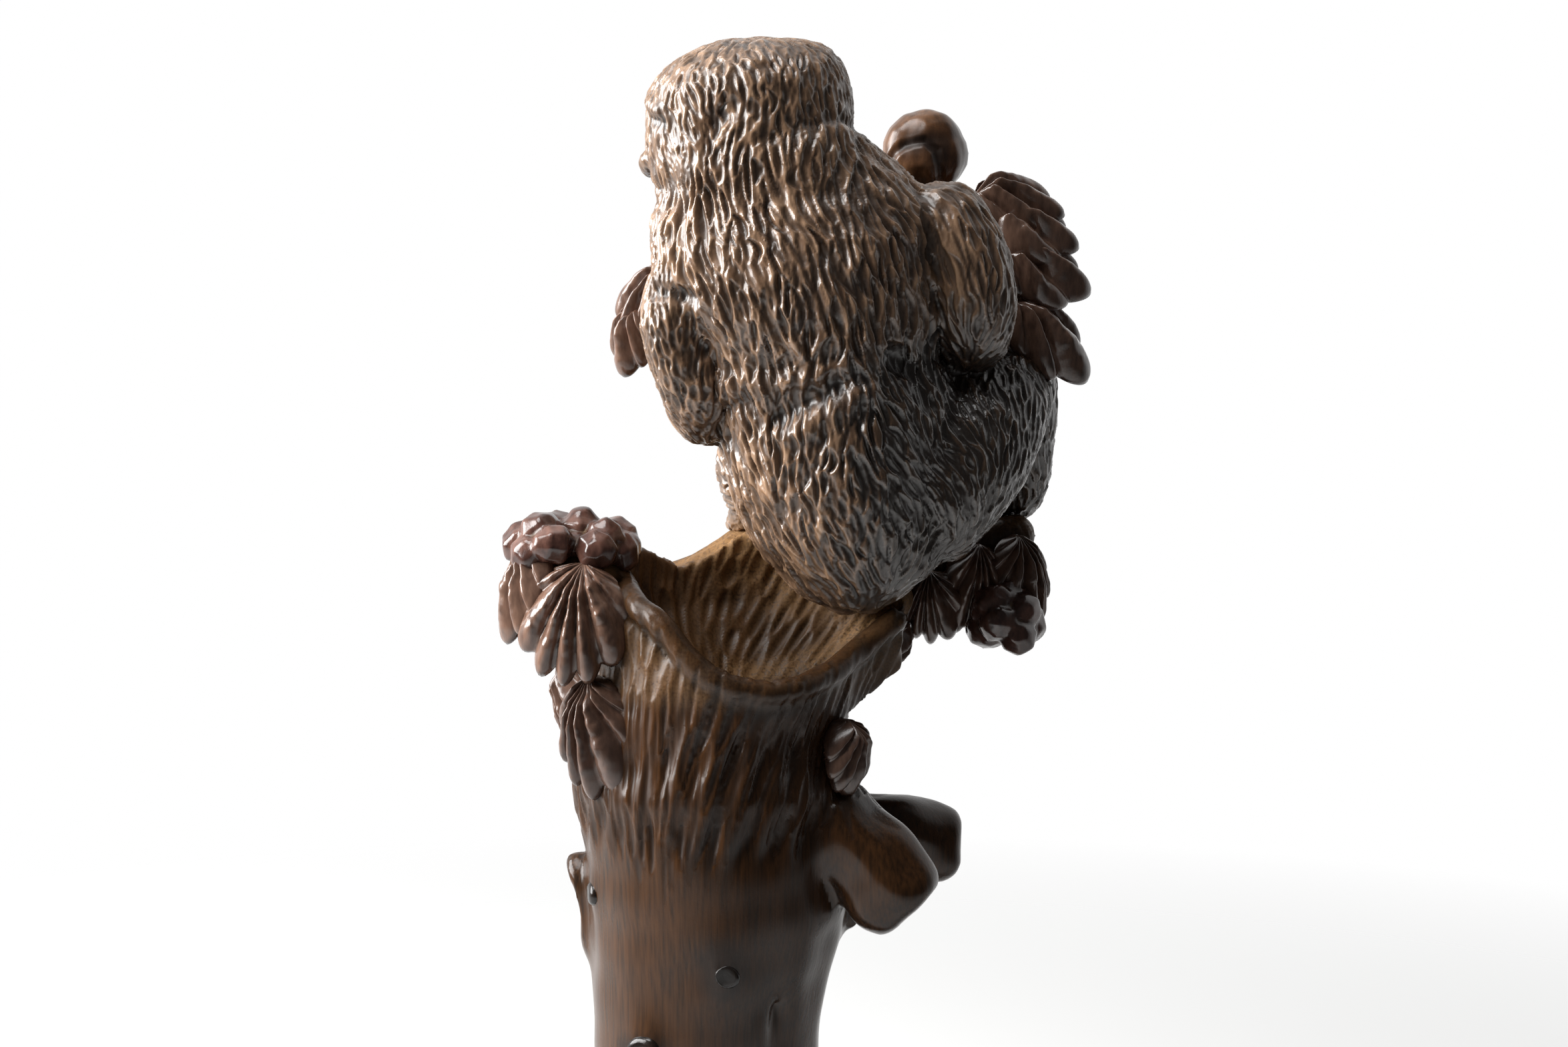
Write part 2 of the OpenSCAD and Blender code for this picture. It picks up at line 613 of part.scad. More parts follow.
// A crowned blade with fanned ribs, lying along +X and crowned towards +Z
module leaf_blade(length, width) {
    function half_width(u) = width / 2 * pow(sin(180 * mix(0.06, 0.94, u)), 0.62) * (1.08 - 0.16 * u);
    function crown(u, v) = leaf_crown * (1 - 0.85 * v * v) * pow(sin(180 * mix(0.12, 0.9, u)), 0.7);
    function rib(u, k) = rib_height * (k % 2 == 0 ? 0.5 : -0.5) * sin(180 * mix(0.1, 0.95, u));
    step = LEAF_COLUMNS + 1;
    top = [for (i = [0 : LEAF_ROWS]) for (k = [0 : LEAF_COLUMNS])
        let (u = i / LEAF_ROWS, v = 2 * k / LEAF_COLUMNS - 1)
        [u * length, v * half_width(u), crown(u, v) + rib(u, k)]];
    rim = concat(
        [for (i = [0 : LEAF_ROWS]) i * step],
        [for (k = [1 : LEAF_COLUMNS]) LEAF_ROWS * step + k],
        [for (i = [LEAF_ROWS - 1 : -1 : 0]) i * step + LEAF_COLUMNS],
        [for (k = [LEAF_COLUMNS - 1 : -1 : 1]) k]
    );
    under = len(top);
    faces = concat(
        [for (i = [0 : LEAF_ROWS - 1]) for (k = [0 : LEAF_COLUMNS - 1])
            let (a = i * step + k)
            each [[a, a + 1, a + step], [a + step, a + 1, a + step + 1]]],
        [for (k = [0 : len(rim) - 1]) [under, rim[k], rim[(k + 1) % len(rim)]]]
    );
    polyhedron(concat(top, [[length / 2, 0, -leaf_body]]), faces);
}

module leaf_form(leaf) {
    a = leaf_axes(leaf);
    p = leaf_peg(leaf);
    length = leaf[5] * leaf_length;
    multmatrix([for (k = [0 : 2]) [a[0][k], a[1][k], a[2][k], p[k]]])
        translate([-LEAF_PEG_AT * length, 0, 0])
        leaf_blade(length, leaf[6] * leaf_width);
}

// Forms in the order in which they are seated: each is carved away where an earlier one stands

ORDER = concat(
    ["trunk", "upper_stem", "right_twig", "left_twig", "foot_branch"],
    ["torso", "rump", "head", "right_arm", "left_arm", "right_leg", "left_leg"],
    names(STUBS),
    names(LEAVES),
    ["left_berries", "foot_berries", "top_fruit"]
);

module form(name) {
    if (name == "trunk") trunk_form();
    if (name == "upper_stem") skin(stem_rows, RIGHT, 14, 16, high = 3);
    if (name == "right_twig") skin(right_twig_rows, AWAY, 12, 10, high = 2);
    if (name == "left_twig") skin(left_twig_rows, AWAY, 9, 10, high = 2);
    if (name == "foot_branch") skin(branch_rows, AWAY, 8, 14, high = 3);
    if (name == "torso") skin(torso_rows, RIGHT, 20, 26, low = 4, high = 3, level = true);
    if (name == "rump") skin(rump_rows, RIGHT, 12, 20, low = 2, high = 3);
    if (name == "head") head_form();
    if (name == "right_arm") skin(right_arm_rows, RIGHT, 20, 14, low = 7, high = 2);
    if (name == "left_arm") skin(left_arm_rows, RIGHT, 20, 13, low = 5, high = 2);
    if (name == "right_leg") right_leg_form();
    if (name == "left_leg") left_leg_form();
    if (name == "top_fruit") egg(fruit_at, [fruit_width / 2, 0.46 * fruit_width, fruit_length / 2], 16);
    for (stub = STUBS) if (name == stub[0]) stub_form(stub);
    for (leaf = LEAVES) if (name == leaf[0]) leaf_form(leaf);
    for (heap = HEAPS) if (name == heap[0]) berries_form(heap);
}

module seated(name) {
    at = search([name], ORDER)[0];
    resize([0, 0, 0]) difference() {
        form(name);
        if (at > 0) for (k = [0 : at - 1]) {
            form(ORDER[k]);
            pins_of(ORDER[k]);
        }
    }
}

// Pins: the piece that owns the pin, the pieces bored for it, start, way, diameter, length

// A pin that ends depth inside the wood at the given point of its surface
function tenon(owner, carrier, surface, way, d, depth, start = 3) =
    [owner, [carrier], surface + unit(way) * start, -unit(way), d, start + depth];
function twig_tenon(owner, rows, carrier, sink) =
    tenon(owner, carrier, place(rows[0]) + heading(rows, 0.05) * sink, heading(rows, 0.05),
        min(stub_tenon_d, 1.3 * rows[0][3]), stub_tenon_depth);
// How far a twig runs inside the stem before it comes out of the bark
function stem_sink(rows, u) =
    along(stem_rows, u)[3] / norm(cross(heading(stem_rows, u), heading(rows, 0.05)));
function stalk(owner, carrier, from, to) =
    [owner, [carrier], from, unit(to - from), 1.4 * peg_d, norm(to - from)];
function dowel(owner, pieces, middle, way) =
    [owner, pieces, middle - unit(way) * dowel_reach, unit(way), dowel_d, 2 * dowel_reach];

// Knots: angle round the trunk, height, diameter
KNOTS = [[200, mid_height - 5, 4.6], [275, mid_height - 16.5, 5.4], [239, waist_height + 2, 7]];
knot_depth = 5;
knot_bevel = 0.6;
knot_length = knot_depth + knot_stand;
function knot_root(knot) = on_trunk(knot[0], knot[1], -knot_depth);

PINS = concat(
    [tenon("upper_stem", "trunk", stem_foot, UP, tenon_d, tenon_depth, 8)],
    [twig_tenon("right_twig", right_twig_rows, "upper_stem", stem_sink(right_twig_rows, right_twig_at))],
    [twig_tenon("left_twig", left_twig_rows, "upper_stem", stem_sink(left_twig_rows, left_twig_at))],
    [twig_tenon("foot_branch", branch_rows, "trunk", branch_sink)],
    [for (s = STUBS)
        tenon(s[0], "trunk", s[1], s[2], min(stub_tenon_d, s[4]), stub_tenon_depth, min(2, 0.4 * s[3]))],
    [for (l = LEAVES)
        let (out = leaf_axes(l)[2])
        [l[0], [l[1]], leaf_peg(l) + out * leaf_core, -out, peg_d, leaf_core + leaf_stand + peg_depth]],
    [for (h = HEAPS) stalk(h[0], h[1], berry_at(h, 0), h[5])],
    [stalk("top_fruit", "upper_stem", fruit_at, stem_top)],
    [for (k = KNOTS)
        ["knot_plugs", ["trunk"], knot_root(k), out_of_trunk(k[0]), k[2], knot_length]],
    [dowel("neck_dowel", ["torso", "head"], nape + [2, 0, head_drop], UP)],
    [dowel("waist_dowel", ["torso", "rump"], hip + [-3, -5, -3.5], UP)],
    [dowel("seat_dowel", ["upper_stem", "rump"], on_skin(stem_rows, 0.17, RIGHT, 310), AWAY)],
    [dowel("shoulder_dowels", ["torso", "right_arm"], right_shoulder + [-2.5, -1, -7], RIGHT)],
    [dowel("shoulder_dowels", ["torso", "left_arm"], left_shoulder + [8.5, -5, -9], RIGHT)],
    [dowel("hip_dowels", ["rump", "right_leg"], seat + [17, 2, 23], [9, 3, 7])],
    [dowel("hip_dowels", ["rump", "left_leg"], seat + [-15.3, 7.7, 19.5], [-7, 5.8, 4])]
);

module pins_of(name) {
    for (p = PINS) if (p[0] == name) pin(p[2], p[3], p[4], p[5]);
}
module bores_in(name) {
    for (p = PINS) for (piece = p[1]) if (piece == name) pin(p[2], p[3], p[4], p[5], glue_gap);
}
module piece(name) {
    difference() {
        union() {
            seated(name);
            pins_of(name);
        }
        bores_in(name);
    }
}

// Pieces

BROWN = [0.27, 0.17, 0.11];
DARK = [0.20, 0.13, 0.09];
RED = [0.24, 0.11, 0.08];
PALE = [0.62, 0.45, 0.28];
BLACK = [0.08, 0.06, 0.05];

module trunk() color(BROWN) difference() {
    piece("trunk");
    trunk_strokes();
}
module upper_stem() color(BROWN) piece("upper_stem");
module right_twig() color(BROWN) piece("right_twig");
module left_twig() color(BROWN) piece("left_twig");
module foot_branch() color(BROWN) piece("foot_branch");
module torso() color(DARK) piece("torso");
module rump() color(DARK) piece("rump");
module head() color(DARK) piece("head");
module right_arm() color(DARK) piece("right_arm");
module left_arm() color(DARK) piece("left_arm");
module right_leg() color(DARK) piece("right_leg");
module left_leg() color(DARK) piece("left_leg");
module left_berries() color(RED) piece("left_berries");
module foot_berries() color(RED) piece("foot_berries");
module top_fruit() color(RED) piece("top_fruit");
module stub(name) color(BROWN) piece(name);
module leaf(name) color(RED) piece(name);
module dowels(name) color(PALE) pins_of(name);

// Plugs with a bevelled head
module knot_plugs() color(BLACK) {
    for (k = KNOTS) {
        r = k[2] / 2;
        head = r - knot_bevel;
        translate(knot_root(k)) rotate([0, 90, k[0]]) rotate_extrude()
            polygon([[0, 0], [r, 0], [r, knot_length - knot_bevel], [head, knot_length], [0, knot_length]]);
    }
}

DOWELS = ["neck_dowel", "waist_dowel", "seat_dowel", "shoulder_dowels", "hip_dowels"];

trunk();
upper_stem();
right_twig();
left_twig();
foot_branch();
torso();
rump();
head();
right_arm();
left_arm();
right_leg();
left_leg();
left_berries();
foot_berries();
top_fruit();
knot_plugs();
for (name = names(STUBS)) stub(name);
for (name = names(LEAVES)) leaf(name);
for (name = DOWELS) dowels(name);
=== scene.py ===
# %% [markdown]
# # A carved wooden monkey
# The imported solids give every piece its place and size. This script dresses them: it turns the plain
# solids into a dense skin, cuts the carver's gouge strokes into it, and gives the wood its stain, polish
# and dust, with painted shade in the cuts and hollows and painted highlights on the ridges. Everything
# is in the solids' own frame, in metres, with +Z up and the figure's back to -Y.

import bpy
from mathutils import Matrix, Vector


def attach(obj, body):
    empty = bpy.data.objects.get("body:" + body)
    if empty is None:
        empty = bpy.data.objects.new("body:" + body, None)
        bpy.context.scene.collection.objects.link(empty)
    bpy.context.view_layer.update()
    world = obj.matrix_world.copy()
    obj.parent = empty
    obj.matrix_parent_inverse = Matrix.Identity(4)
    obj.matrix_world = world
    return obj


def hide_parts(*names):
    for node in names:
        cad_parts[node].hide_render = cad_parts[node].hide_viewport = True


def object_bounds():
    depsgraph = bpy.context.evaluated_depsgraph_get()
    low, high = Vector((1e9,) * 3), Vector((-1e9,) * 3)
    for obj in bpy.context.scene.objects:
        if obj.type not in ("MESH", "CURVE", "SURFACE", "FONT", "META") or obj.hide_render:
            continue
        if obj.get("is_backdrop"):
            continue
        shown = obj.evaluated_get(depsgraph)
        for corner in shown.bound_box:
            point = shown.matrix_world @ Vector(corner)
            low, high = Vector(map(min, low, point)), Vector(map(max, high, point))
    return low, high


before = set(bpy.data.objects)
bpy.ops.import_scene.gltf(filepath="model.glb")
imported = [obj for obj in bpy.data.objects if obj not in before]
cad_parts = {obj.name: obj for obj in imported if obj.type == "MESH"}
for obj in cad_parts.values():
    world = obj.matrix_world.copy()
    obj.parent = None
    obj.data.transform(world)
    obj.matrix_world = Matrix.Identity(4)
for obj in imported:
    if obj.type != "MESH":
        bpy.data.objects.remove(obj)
CAD_BOX = [list(corner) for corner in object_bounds()]

import math
from functools import partialmethod

import bmesh
import bpy
import numpy as np
from mathutils import Matrix, Vector
from mathutils.bvhtree import BVHTree

MM = 0.001


def put(name, data):
    made = bpy.data.objects.new(name, data)
    bpy.context.scene.collection.objects.link(made)
    return made


print("solids:", len(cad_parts), "box in mm:", np.round(np.array(CAD_BOX) / MM, 1).tolist())

# %% [markdown]
# ## Camera
# The photo is taken from behind the figure, a little above it and fairly close. A distance and an
# aim on the object are easier to read than a matrix, so the camera is built from those.

# %% Camera
CAMERA_DISTANCE = 600 * MM
CAMERA_RISE = math.radians(8)
CAMERA_AIM = Vector((8.9, 0, 169.1)) * MM
FRAME_WIDTH = 282 * MM
SENSOR = 36

camera_data = bpy.data.cameras.new("camera")
camera_data.sensor_fit = "HORIZONTAL"
camera_data.sensor_width = SENSOR
camera_data.lens = SENSOR * CAMERA_DISTANCE / FRAME_WIDTH
camera_data.clip_start = 10 * MM
camera = put("camera", camera_data)
camera.location = CAMERA_AIM + CAMERA_DISTANCE * Vector((0, -math.cos(CAMERA_RISE), math.sin(CAMERA_RISE)))
camera.rotation_euler = (CAMERA_AIM - camera.location).to_track_quat("-Z", "Y").to_euler()
bpy.context.scene.camera = camera
bpy.context.scene.view_settings.view_transform = "Standard"
print("lens:", round(camera_data.lens, 1), "mm")

# %% [markdown]
# ## Node trees as expressions
# Finishes and leaf shapes are sums and products of masks. Wiring Math nodes by hand hides that, so a
# small class wraps a socket and turns Python's operators into Math nodes. Every other node comes from
# one method, which sets the node up first and then fills or links its sockets.

# %% Sockets with operators
class Wire:
    """One output socket. Arithmetic on wires adds Math nodes to their graph."""

    def __init__(self, graph, socket):
        self.graph = graph
        self.socket = socket

    def math(self, operation, *values):
        return self.graph.math(operation, self, *values)

    def __rsub__(self, other):
        return self.graph.math("SUBTRACT", other, self)

    __add__ = __radd__ = partialmethod(math, "ADD")
    __sub__ = partialmethod(math, "SUBTRACT")
    __mul__ = __rmul__ = partialmethod(math, "MULTIPLY")
    __truediv__ = partialmethod(math, "DIVIDE")
    __pow__ = partialmethod(math, "POWER")

    def clamped(self):
        return self.graph.math("MINIMUM", self.math("MAXIMUM", 0), 1)


class Graph:
    """A node tree that grows by calls."""

    def __init__(self, tree):
        self.tree = tree

    def node(self, kind, sockets=None, **settings):
        made = self.tree.nodes.new(kind)
        for name, value in settings.items():
            setattr(made, name, value)
        self.fill(made, sockets or {})
        return made

    def fill(self, node, sockets):
        """Links wires to a node's sockets and sets constants on them."""
        for key, value in sockets.items():
            if isinstance(value, Wire):
                self.tree.links.new(value.socket, node.inputs[key])
            else:
                node.inputs[key].default_value = value

    def out(self, kind, sockets=None, output=0, **settings):
        return Wire(self, self.node(kind, sockets, **settings).outputs[output])

    def math(self, operation, *values):
        return self.out("ShaderNodeMath", dict(enumerate(values)), operation=operation)

    def blend(self, factor, first, second):
        """A mix of two colours, whose sockets have these numbers on a Mix node."""
        return self.out("ShaderNodeMix", {0: factor, 6: first, 7: second}, 2, data_type="RGBA")

    def range(self, value, low, high):
        """0 at low, 1 at high, clamped."""
        return ((value - low) / (high - low)).clamped()


print("socket class ready")

# %% [markdown]
# ## Stage
# A pale floor that fades into a white surround, one large soft window on the left, as the highlights on
# the figure's back show, a smaller one above, and weak light from everywhere else. The lamps stay at a
# plain level, so that the wood's colours come from its finish. The camera sees white all round, and gloss
# sees a white backdrop behind the figure and a dim room in front of it. The floor looks pale but throws
# little light back, because the figure's right side is dark in the photo.

# %% Floor, surround and lamps
FLOOR_RADIUS = 0.5
FLOOR_FADE = (0.35 * FLOOR_RADIUS, 0.95 * FLOOR_RADIUS)
FLOOR_COLOUR = (0.86, 0.86, 0.85, 1)
FLOOR_BOUNCE = (0.2, 0.2, 0.2, 1)
SURROUND_LIGHT = 0.06
BACKDROP_EDGE = 0.3
LAMP_AIM = Vector((0, 0, 0.21))
# Place, then width and height, then power.
LAMPS = {
    "left_window": [(-0.66, -0.06, 0.4), (0.6, 0.5), 15],
    "roof_window": [(-0.3, -0.16, 0.85), (0.4, 0.4), 4.2],
}


def ray_kinds(graph):
    """Whether a ray comes from the camera, from gloss, or through something clear."""
    paths = graph.node("ShaderNodeLightPath")
    kinds = ("Is Camera Ray", "Is Glossy Ray", "Is Transmission Ray")
    return [Wire(graph, paths.outputs[name]) for name in kinds]


def make_surround():
    world = bpy.data.worlds.new("surround")
    world.use_nodes = True
    world.node_tree.nodes.clear()
    graph = Graph(world.node_tree)
    camera_ray, glossy_ray, through_ray = ray_kinds(graph)
    way = graph.node("ShaderNodeSeparateXYZ", {0: graph.out("ShaderNodeTexCoord")})
    backdrop = graph.range(Wire(graph, way.outputs[1]), -BACKDROP_EDGE, BACKDROP_EDGE)
    white = (camera_ray + (glossy_ray + through_ray) * backdrop).clamped()
    strength = SURROUND_LIGHT + white * (1 - SURROUND_LIGHT)
    light = graph.out("ShaderNodeBackground", {"Color": (1, 1, 1, 1), "Strength": strength})
    graph.node("ShaderNodeOutputWorld", {"Surface": light})
    bpy.context.scene.world = world


def make_floor():
    bpy.ops.mesh.primitive_circle_add(vertices=96, radius=FLOOR_RADIUS, fill_type="NGON")
    floor = bpy.context.object
    floor.name = "floor"
    material = bpy.data.materials.new("floor_paint")
    material.use_nodes = True
    material.node_tree.nodes.clear()
    graph = Graph(material.node_tree)
    coords = graph.out("ShaderNodeTexCoord", output="Object")
    radius = graph.out("ShaderNodeVectorMath", {0: coords}, output="Value", operation="LENGTH")
    fade = graph.range(radius, *FLOOR_FADE)
    seen = sum(ray_kinds(graph), 0).clamped()
    colour = graph.blend(seen, FLOOR_BOUNCE, FLOOR_COLOUR)
    paint = graph.out("ShaderNodeBsdfDiffuse", {"Color": colour})
    clear = graph.out("ShaderNodeBsdfTransparent")
    mixed = graph.out("ShaderNodeMixShader", {0: fade, 1: paint, 2: clear})
    graph.node("ShaderNodeOutputMaterial", {"Surface": mixed})
    floor.data.materials.append(material)
    floor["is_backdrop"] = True


def add_lamp(name, place, size, power):
    data = bpy.data.lights.new(name, "AREA")
    data.shape = "RECTANGLE"
    data.size, data.size_y = size
    data.energy = power
    lamp = put(name, data)
    lamp.location = place
    lamp.rotation_euler = (LAMP_AIM - Vector(place)).to_track_quat("-Z", "Y").to_euler()


make_surround()
make_floor()
for name, lamp in LAMPS.items():
    add_lamp(name, *lamp)
print("lamps:", list(LAMPS))

# %% [markdown]
# ## Wood finishes
# Seven finishes, all of them wood. Each starts from noise at three sizes, for patches of stain, fibres and
# specks, and then reads masks that the carving leaves on every point: how deep a stroke went (groove),
# how far a spot lies in a fold or hollow, with painted shade and stains added (shade_and_stain), how much
# dust settled (dust), and a different value for each stroke (tint). Ridges are rubbed bright and glossy,
# partly as wear and partly as a painted highlight; grooves are painted dark as painted shade and stay dull.

# %% Finish
MASKS = ("groove", "shade_and_stain", "dust", "tint")


def noise(graph, size, stretch=(1, 1, 1), detail=3):
    coords = graph.out("ShaderNodeTexCoord", output="Object")
    placed = graph.out("ShaderNodeMapping", {"Vector": coords, "Scale": stretch})
    return graph.out("ShaderNodeTexNoise", {"Vector": placed, "Scale": 1 / size, "Detail": detail})


def srgb(red, green, blue):
    """A colour as seen on screen, 0 to 255, in the linear values that shaders use."""
    channels = [c / 255 for c in (red, green, blue)]
    return tuple(c / 12.92 if c <= 0.04045 else ((c + 0.055) / 1.055) ** 2.4 for c in channels) + (1,)


DUST = srgb(150, 114, 74)
PATCH_SIZE = 14 * MM
SPECK_SIZE = 0.5 * MM
BUMP_DEPTH = 0.15 * MM
BUMP_STRENGTH = 0.25
COAT_ROUGHNESS = 0.18


def wood_finish(name, colours, fibre, roughness, groove_share=0.85, shine=0.6, coat=0):
    """Colours of dark and plain wood, of ridges lighter from wear and a painted highlight, and of painted
    shade in the cuts. Fibre is a size in mm and a scale along z.
    """
    material = bpy.data.materials.new(name)
    material.use_nodes = True
    graph = Graph(material.node_tree)
    dark, body, light, cut_shade = (srgb(*colour) for colour in colours)
    groove, shade_and_stain, dust, tint = (
        graph.out("ShaderNodeAttribute", output=2, attribute_name=mask) for mask in MASKS)
    patches = noise(graph, PATCH_SIZE)
    fibres = noise(graph, fibre[0] * MM, (1, 1, fibre[1]), detail=5)
    colour = graph.blend(graph.range(patches * 0.6 + fibres * 0.7, 0.45, 0.85), dark, body)
    # Ridges are painted lighter: partly wear, partly a painted highlight.
    worn_and_highlit = graph.range(fibres * 0.5 + tint * 0.5, 0.42, 0.8) * (1 - groove) ** 2
    colour = graph.blend(worn_and_highlit * 0.8, colour, light)
    # Cuts and hollows are painted dark here as painted shade; the same mask also carries real stain.
    deep = groove ** 1.6 * groove_share
    colour = graph.blend((deep + shade_and_stain * 0.5).clamped(), colour, cut_shade)
    specks = noise(graph, SPECK_SIZE, detail=2)
    dusty = (dust * graph.range(specks + patches * 0.5, 0.45, 0.85)).clamped()
    colour = graph.blend(dusty, colour, DUST)
    rough = roughness + groove * 0.22 + dusty * 0.5 + (patches - 0.5) * 0.16
    relief = fibres + specks * 0.3 + dusty
    bump = graph.out(
        "ShaderNodeBump", {"Strength": BUMP_STRENGTH, "Distance": BUMP_DEPTH, "Height": relief})
    graph.fill(material.node_tree.nodes["Principled BSDF"], {
        "Base Color": colour, "Roughness": rough.clamped(), "Normal": bump,
        "Specular IOR Level": shine, "Coat Weight": coat, "Coat Roughness": COAT_ROUGHNESS})
    return material


# Each finish lists dark, plain and ridge colours and a cut colour: the ridges partly worn and partly a
# painted highlight, the cuts painted shade.
FUR_WOOD = wood_finish(
    "carved_fur", [(92, 68, 50), (148, 115, 88), (206, 171, 140), (38, 27, 19)],
    fibre=(1.2, 0.25), roughness=0.22, groove_share=0.7, coat=0.4)
TRUNK_WOOD = wood_finish(
    "polished_trunk", [(40, 26, 15), (65, 41, 23), (90, 58, 32), (27, 17, 11)],
    fibre=(0.6, 0.05), roughness=0.24, groove_share=0.36, shine=0.3)
LEAF_WOOD = wood_finish(
    "carved_leaf", [(64, 47, 40), (106, 79, 66), (152, 119, 100), (33, 24, 20)],
    fibre=(1.4, 0.3), roughness=0.18, groove_share=0.9)
BERRY_WOOD = wood_finish(
    "polished_berry", [(54, 35, 30), (88, 58, 49), (126, 90, 77), (27, 18, 16)],
    fibre=(1.2, 0.5), roughness=0.18, groove_share=0.9)
BUD_WOOD = wood_finish(
    "polished_bud", [(58, 38, 25), (98, 66, 43), (136, 96, 66), (32, 21, 15)],
    fibre=(1.0, 0.3), roughness=0.24, groove_share=0.9, shine=0.5)
KNOT_WOOD = wood_finish(
    "dark_knot", [(18, 14, 12), (29, 22, 18), (44, 33, 27), (14, 11, 9)],
    fibre=(0.8, 1), roughness=0.18, groove_share=0.8, shine=0.4)
DOWEL_WOOD = wood_finish(
    "pale_dowel", [(170, 130, 86), (196, 156, 106), (212, 176, 128), (140, 100, 62)],
    fibre=(0.7, 0.15), roughness=0.55)
print("finishes:", [m.name for m in bpy.data.materials])

# %% [markdown]
# ## Clay
# A carving has no mesh lines that follow its joints, so the solids of one kind of wood are joined and
# wrapped in a dense even skin with the voxel remesh. Working on arrays in millimetres is quicker than
# sculpting point by point. The skin is called clay here, because it is pushed and cut before it is
# turned back into pieces.

# %% Skin over solids
def read(items, field, columns, kind=float):
    """A field of mesh items as rows of an array."""
    values = np.empty(len(items) * columns, kind)
    items.foreach_get(field, values)
    return values.reshape(-1, columns)


def cad_triangles(names):
    """Points in millimetres, triangles, and for each triangle the number of its name."""
    points, faces, owner, start = [], [], [], 0
    for number, name in enumerate(names):
        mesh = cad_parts[name].data
        mesh.calc_loop_triangles()
        points.append(read(mesh.vertices, "co", 3) / MM)
        faces.append(read(mesh.loop_triangles, "vertices", 3, np.int64) + start)
        owner.append(np.full(len(faces[-1]), number))
        start += len(mesh.vertices)
    return np.vstack(points), np.vstack(faces), np.concatenate(owner)


def with_balls(names, balls):
    """Points and triangles of solids and of balls of [centre, radius], which add wood to them."""
    points, faces, _ = cad_triangles(names)
    plain = bmesh.new()
    bmesh.ops.create_icosphere(plain, subdivisions=2, radius=1)
    spots = np.array([v.co for v in plain.verts])
    sides = np.array([[v.index for v in f.verts] for f in plain.faces])
    plain.free()
    for centre, radius in balls:
        faces = np.vstack([faces, sides + len(points)])
        points = np.vstack([points, spots * radius + centre])
    return points, faces


def voxel_skin(points, faces, voxel):
    """Points and quads of an even skin round closed solids."""
    mesh = bpy.data.meshes.new("clay")
    mesh.from_pydata(points.tolist(), [], faces.tolist())
    block = put("clay", mesh)
    wrap = block.modifiers.new("wrap", "REMESH")
    wrap.mode = "VOXEL"
    wrap.voxel_size = voxel
    skin = block.evaluated_get(bpy.context.evaluated_depsgraph_get()).to_mesh()
    points, corners = read(skin.vertices, "co", 3), read(skin.loops, "vertex_index", 1, np.int64)
    bpy.data.objects.remove(block)
    bpy.data.meshes.remove(mesh)
    return points, corners.reshape(-1, 4)


class Clay:
    """A skin of quads, in millimetres, with masks on its points."""

    def __init__(self, points, quads):
        self.points, self.quads = points, quads
        sides = np.sort(np.vstack([quads[:, [k, (k + 1) % 4]] for k in range(4)]), axis=1)
        self.edges = np.unique(sides, axis=0)
        self.degree = np.bincount(self.edges.ravel(), minlength=len(points))
        self.masks = {}

    @property
    def z(self):
        return self.points[:, 2]

    def mean(self, values):
        """Each point's average over its neighbours."""
        a, b = self.edges.T
        columns = values.reshape(len(values), -1).T
        total = [np.bincount(a, c[b], len(c)) + np.bincount(b, c[a], len(c)) for c in columns]
        return (np.array(total) / self.degree).T.reshape(values.shape)

    def spread(self, values, rounds, share=0.5):
        """Values drawn towards their neighbours' average."""
        for _ in range(rounds):
            values = values + share * (self.mean(values) - values)
        return values

    def smooth(self, rounds, share=0.5):
        self.points = self.spread(self.points, rounds, share)

    def fair(self, rounds):
        """Smooths without shrinking, by a step forwards and a longer one back."""
        for _ in range(rounds):
            self.points = self.spread(self.spread(self.points, 1, 0.5), 1, -0.52)

    def normals(self):
        p = self.points[self.quads]
        across = np.cross(p[:, 2] - p[:, 0], p[:, 3] - p[:, 1])
        total = np.zeros_like(self.points)
        for k in range(3):
            total[:, k] = sum(np.bincount(self.quads[:, c], across[:, k], len(total)) for c in range(4))
        return total / np.maximum(np.linalg.norm(total, axis=1), 1e-9)[:, None]

    def hollow(self, rounds):
        """How far each point lies below the smoothed skin."""
        return ((self.spread(self.points, rounds) - self.points) * self.normals()).sum(1)

    def push(self, amount):
        self.points = self.points + self.normals() * amount[:, None]


RIPPLE_WAVES = 7


def ripple(points, size, seed):
    """A smooth random field from about -1 to 1, with bumps of the given size."""
    rng = np.random.default_rng(seed)
    total = np.zeros(len(points))
    for _ in range(RIPPLE_WAVES):
        way = rng.normal(size=3)
        way *= rng.uniform(0.7, 1.4) / np.linalg.norm(way)
        total += np.sin(points @ way * math.pi / size + rng.uniform(0, 6.3))
    return total / 3


print("clay tools ready")

# %% [markdown]
# ## Spots read from the photo
# The lie of the hair and the folds of the body are easiest to read off the photo, so they are noted
# as pixels. A ray from the camera through the pixel finds the spot on the solid, which then stays on the
# surface whatever the view.

# %% From pixel to surface
PHOTO_SIZE = (2349, 1568)
IMAGE_UP = Vector((0, math.sin(CAMERA_RISE), math.cos(CAMERA_RISE)))


def solid_tree(names):
    points, faces, _ = cad_triangles(names)
    return BVHTree.FromPolygons(points.tolist(), faces.tolist())


def pixel_ray(across, down):
    """The camera's place and the spot that a pixel marks on the plane of the aim, in millimetres."""
    shift = Vector((across - PHOTO_SIZE[0] / 2, 0, 0)) + IMAGE_UP * (PHOTO_SIZE[1] / 2 - down)
    return camera.location / MM, (CAMERA_AIM + shift * FRAME_WIDTH / PHOTO_SIZE[0]) / MM


def seen_at(tree, across, down):
    """The spot in millimetres that a pixel of the photo shows."""
    eye, aim = pixel_ray(across, down)
    hit = tree.ray_cast(eye, (aim - eye).normalized())[0]
    return np.array(hit if hit else tree.find_nearest(aim)[0])


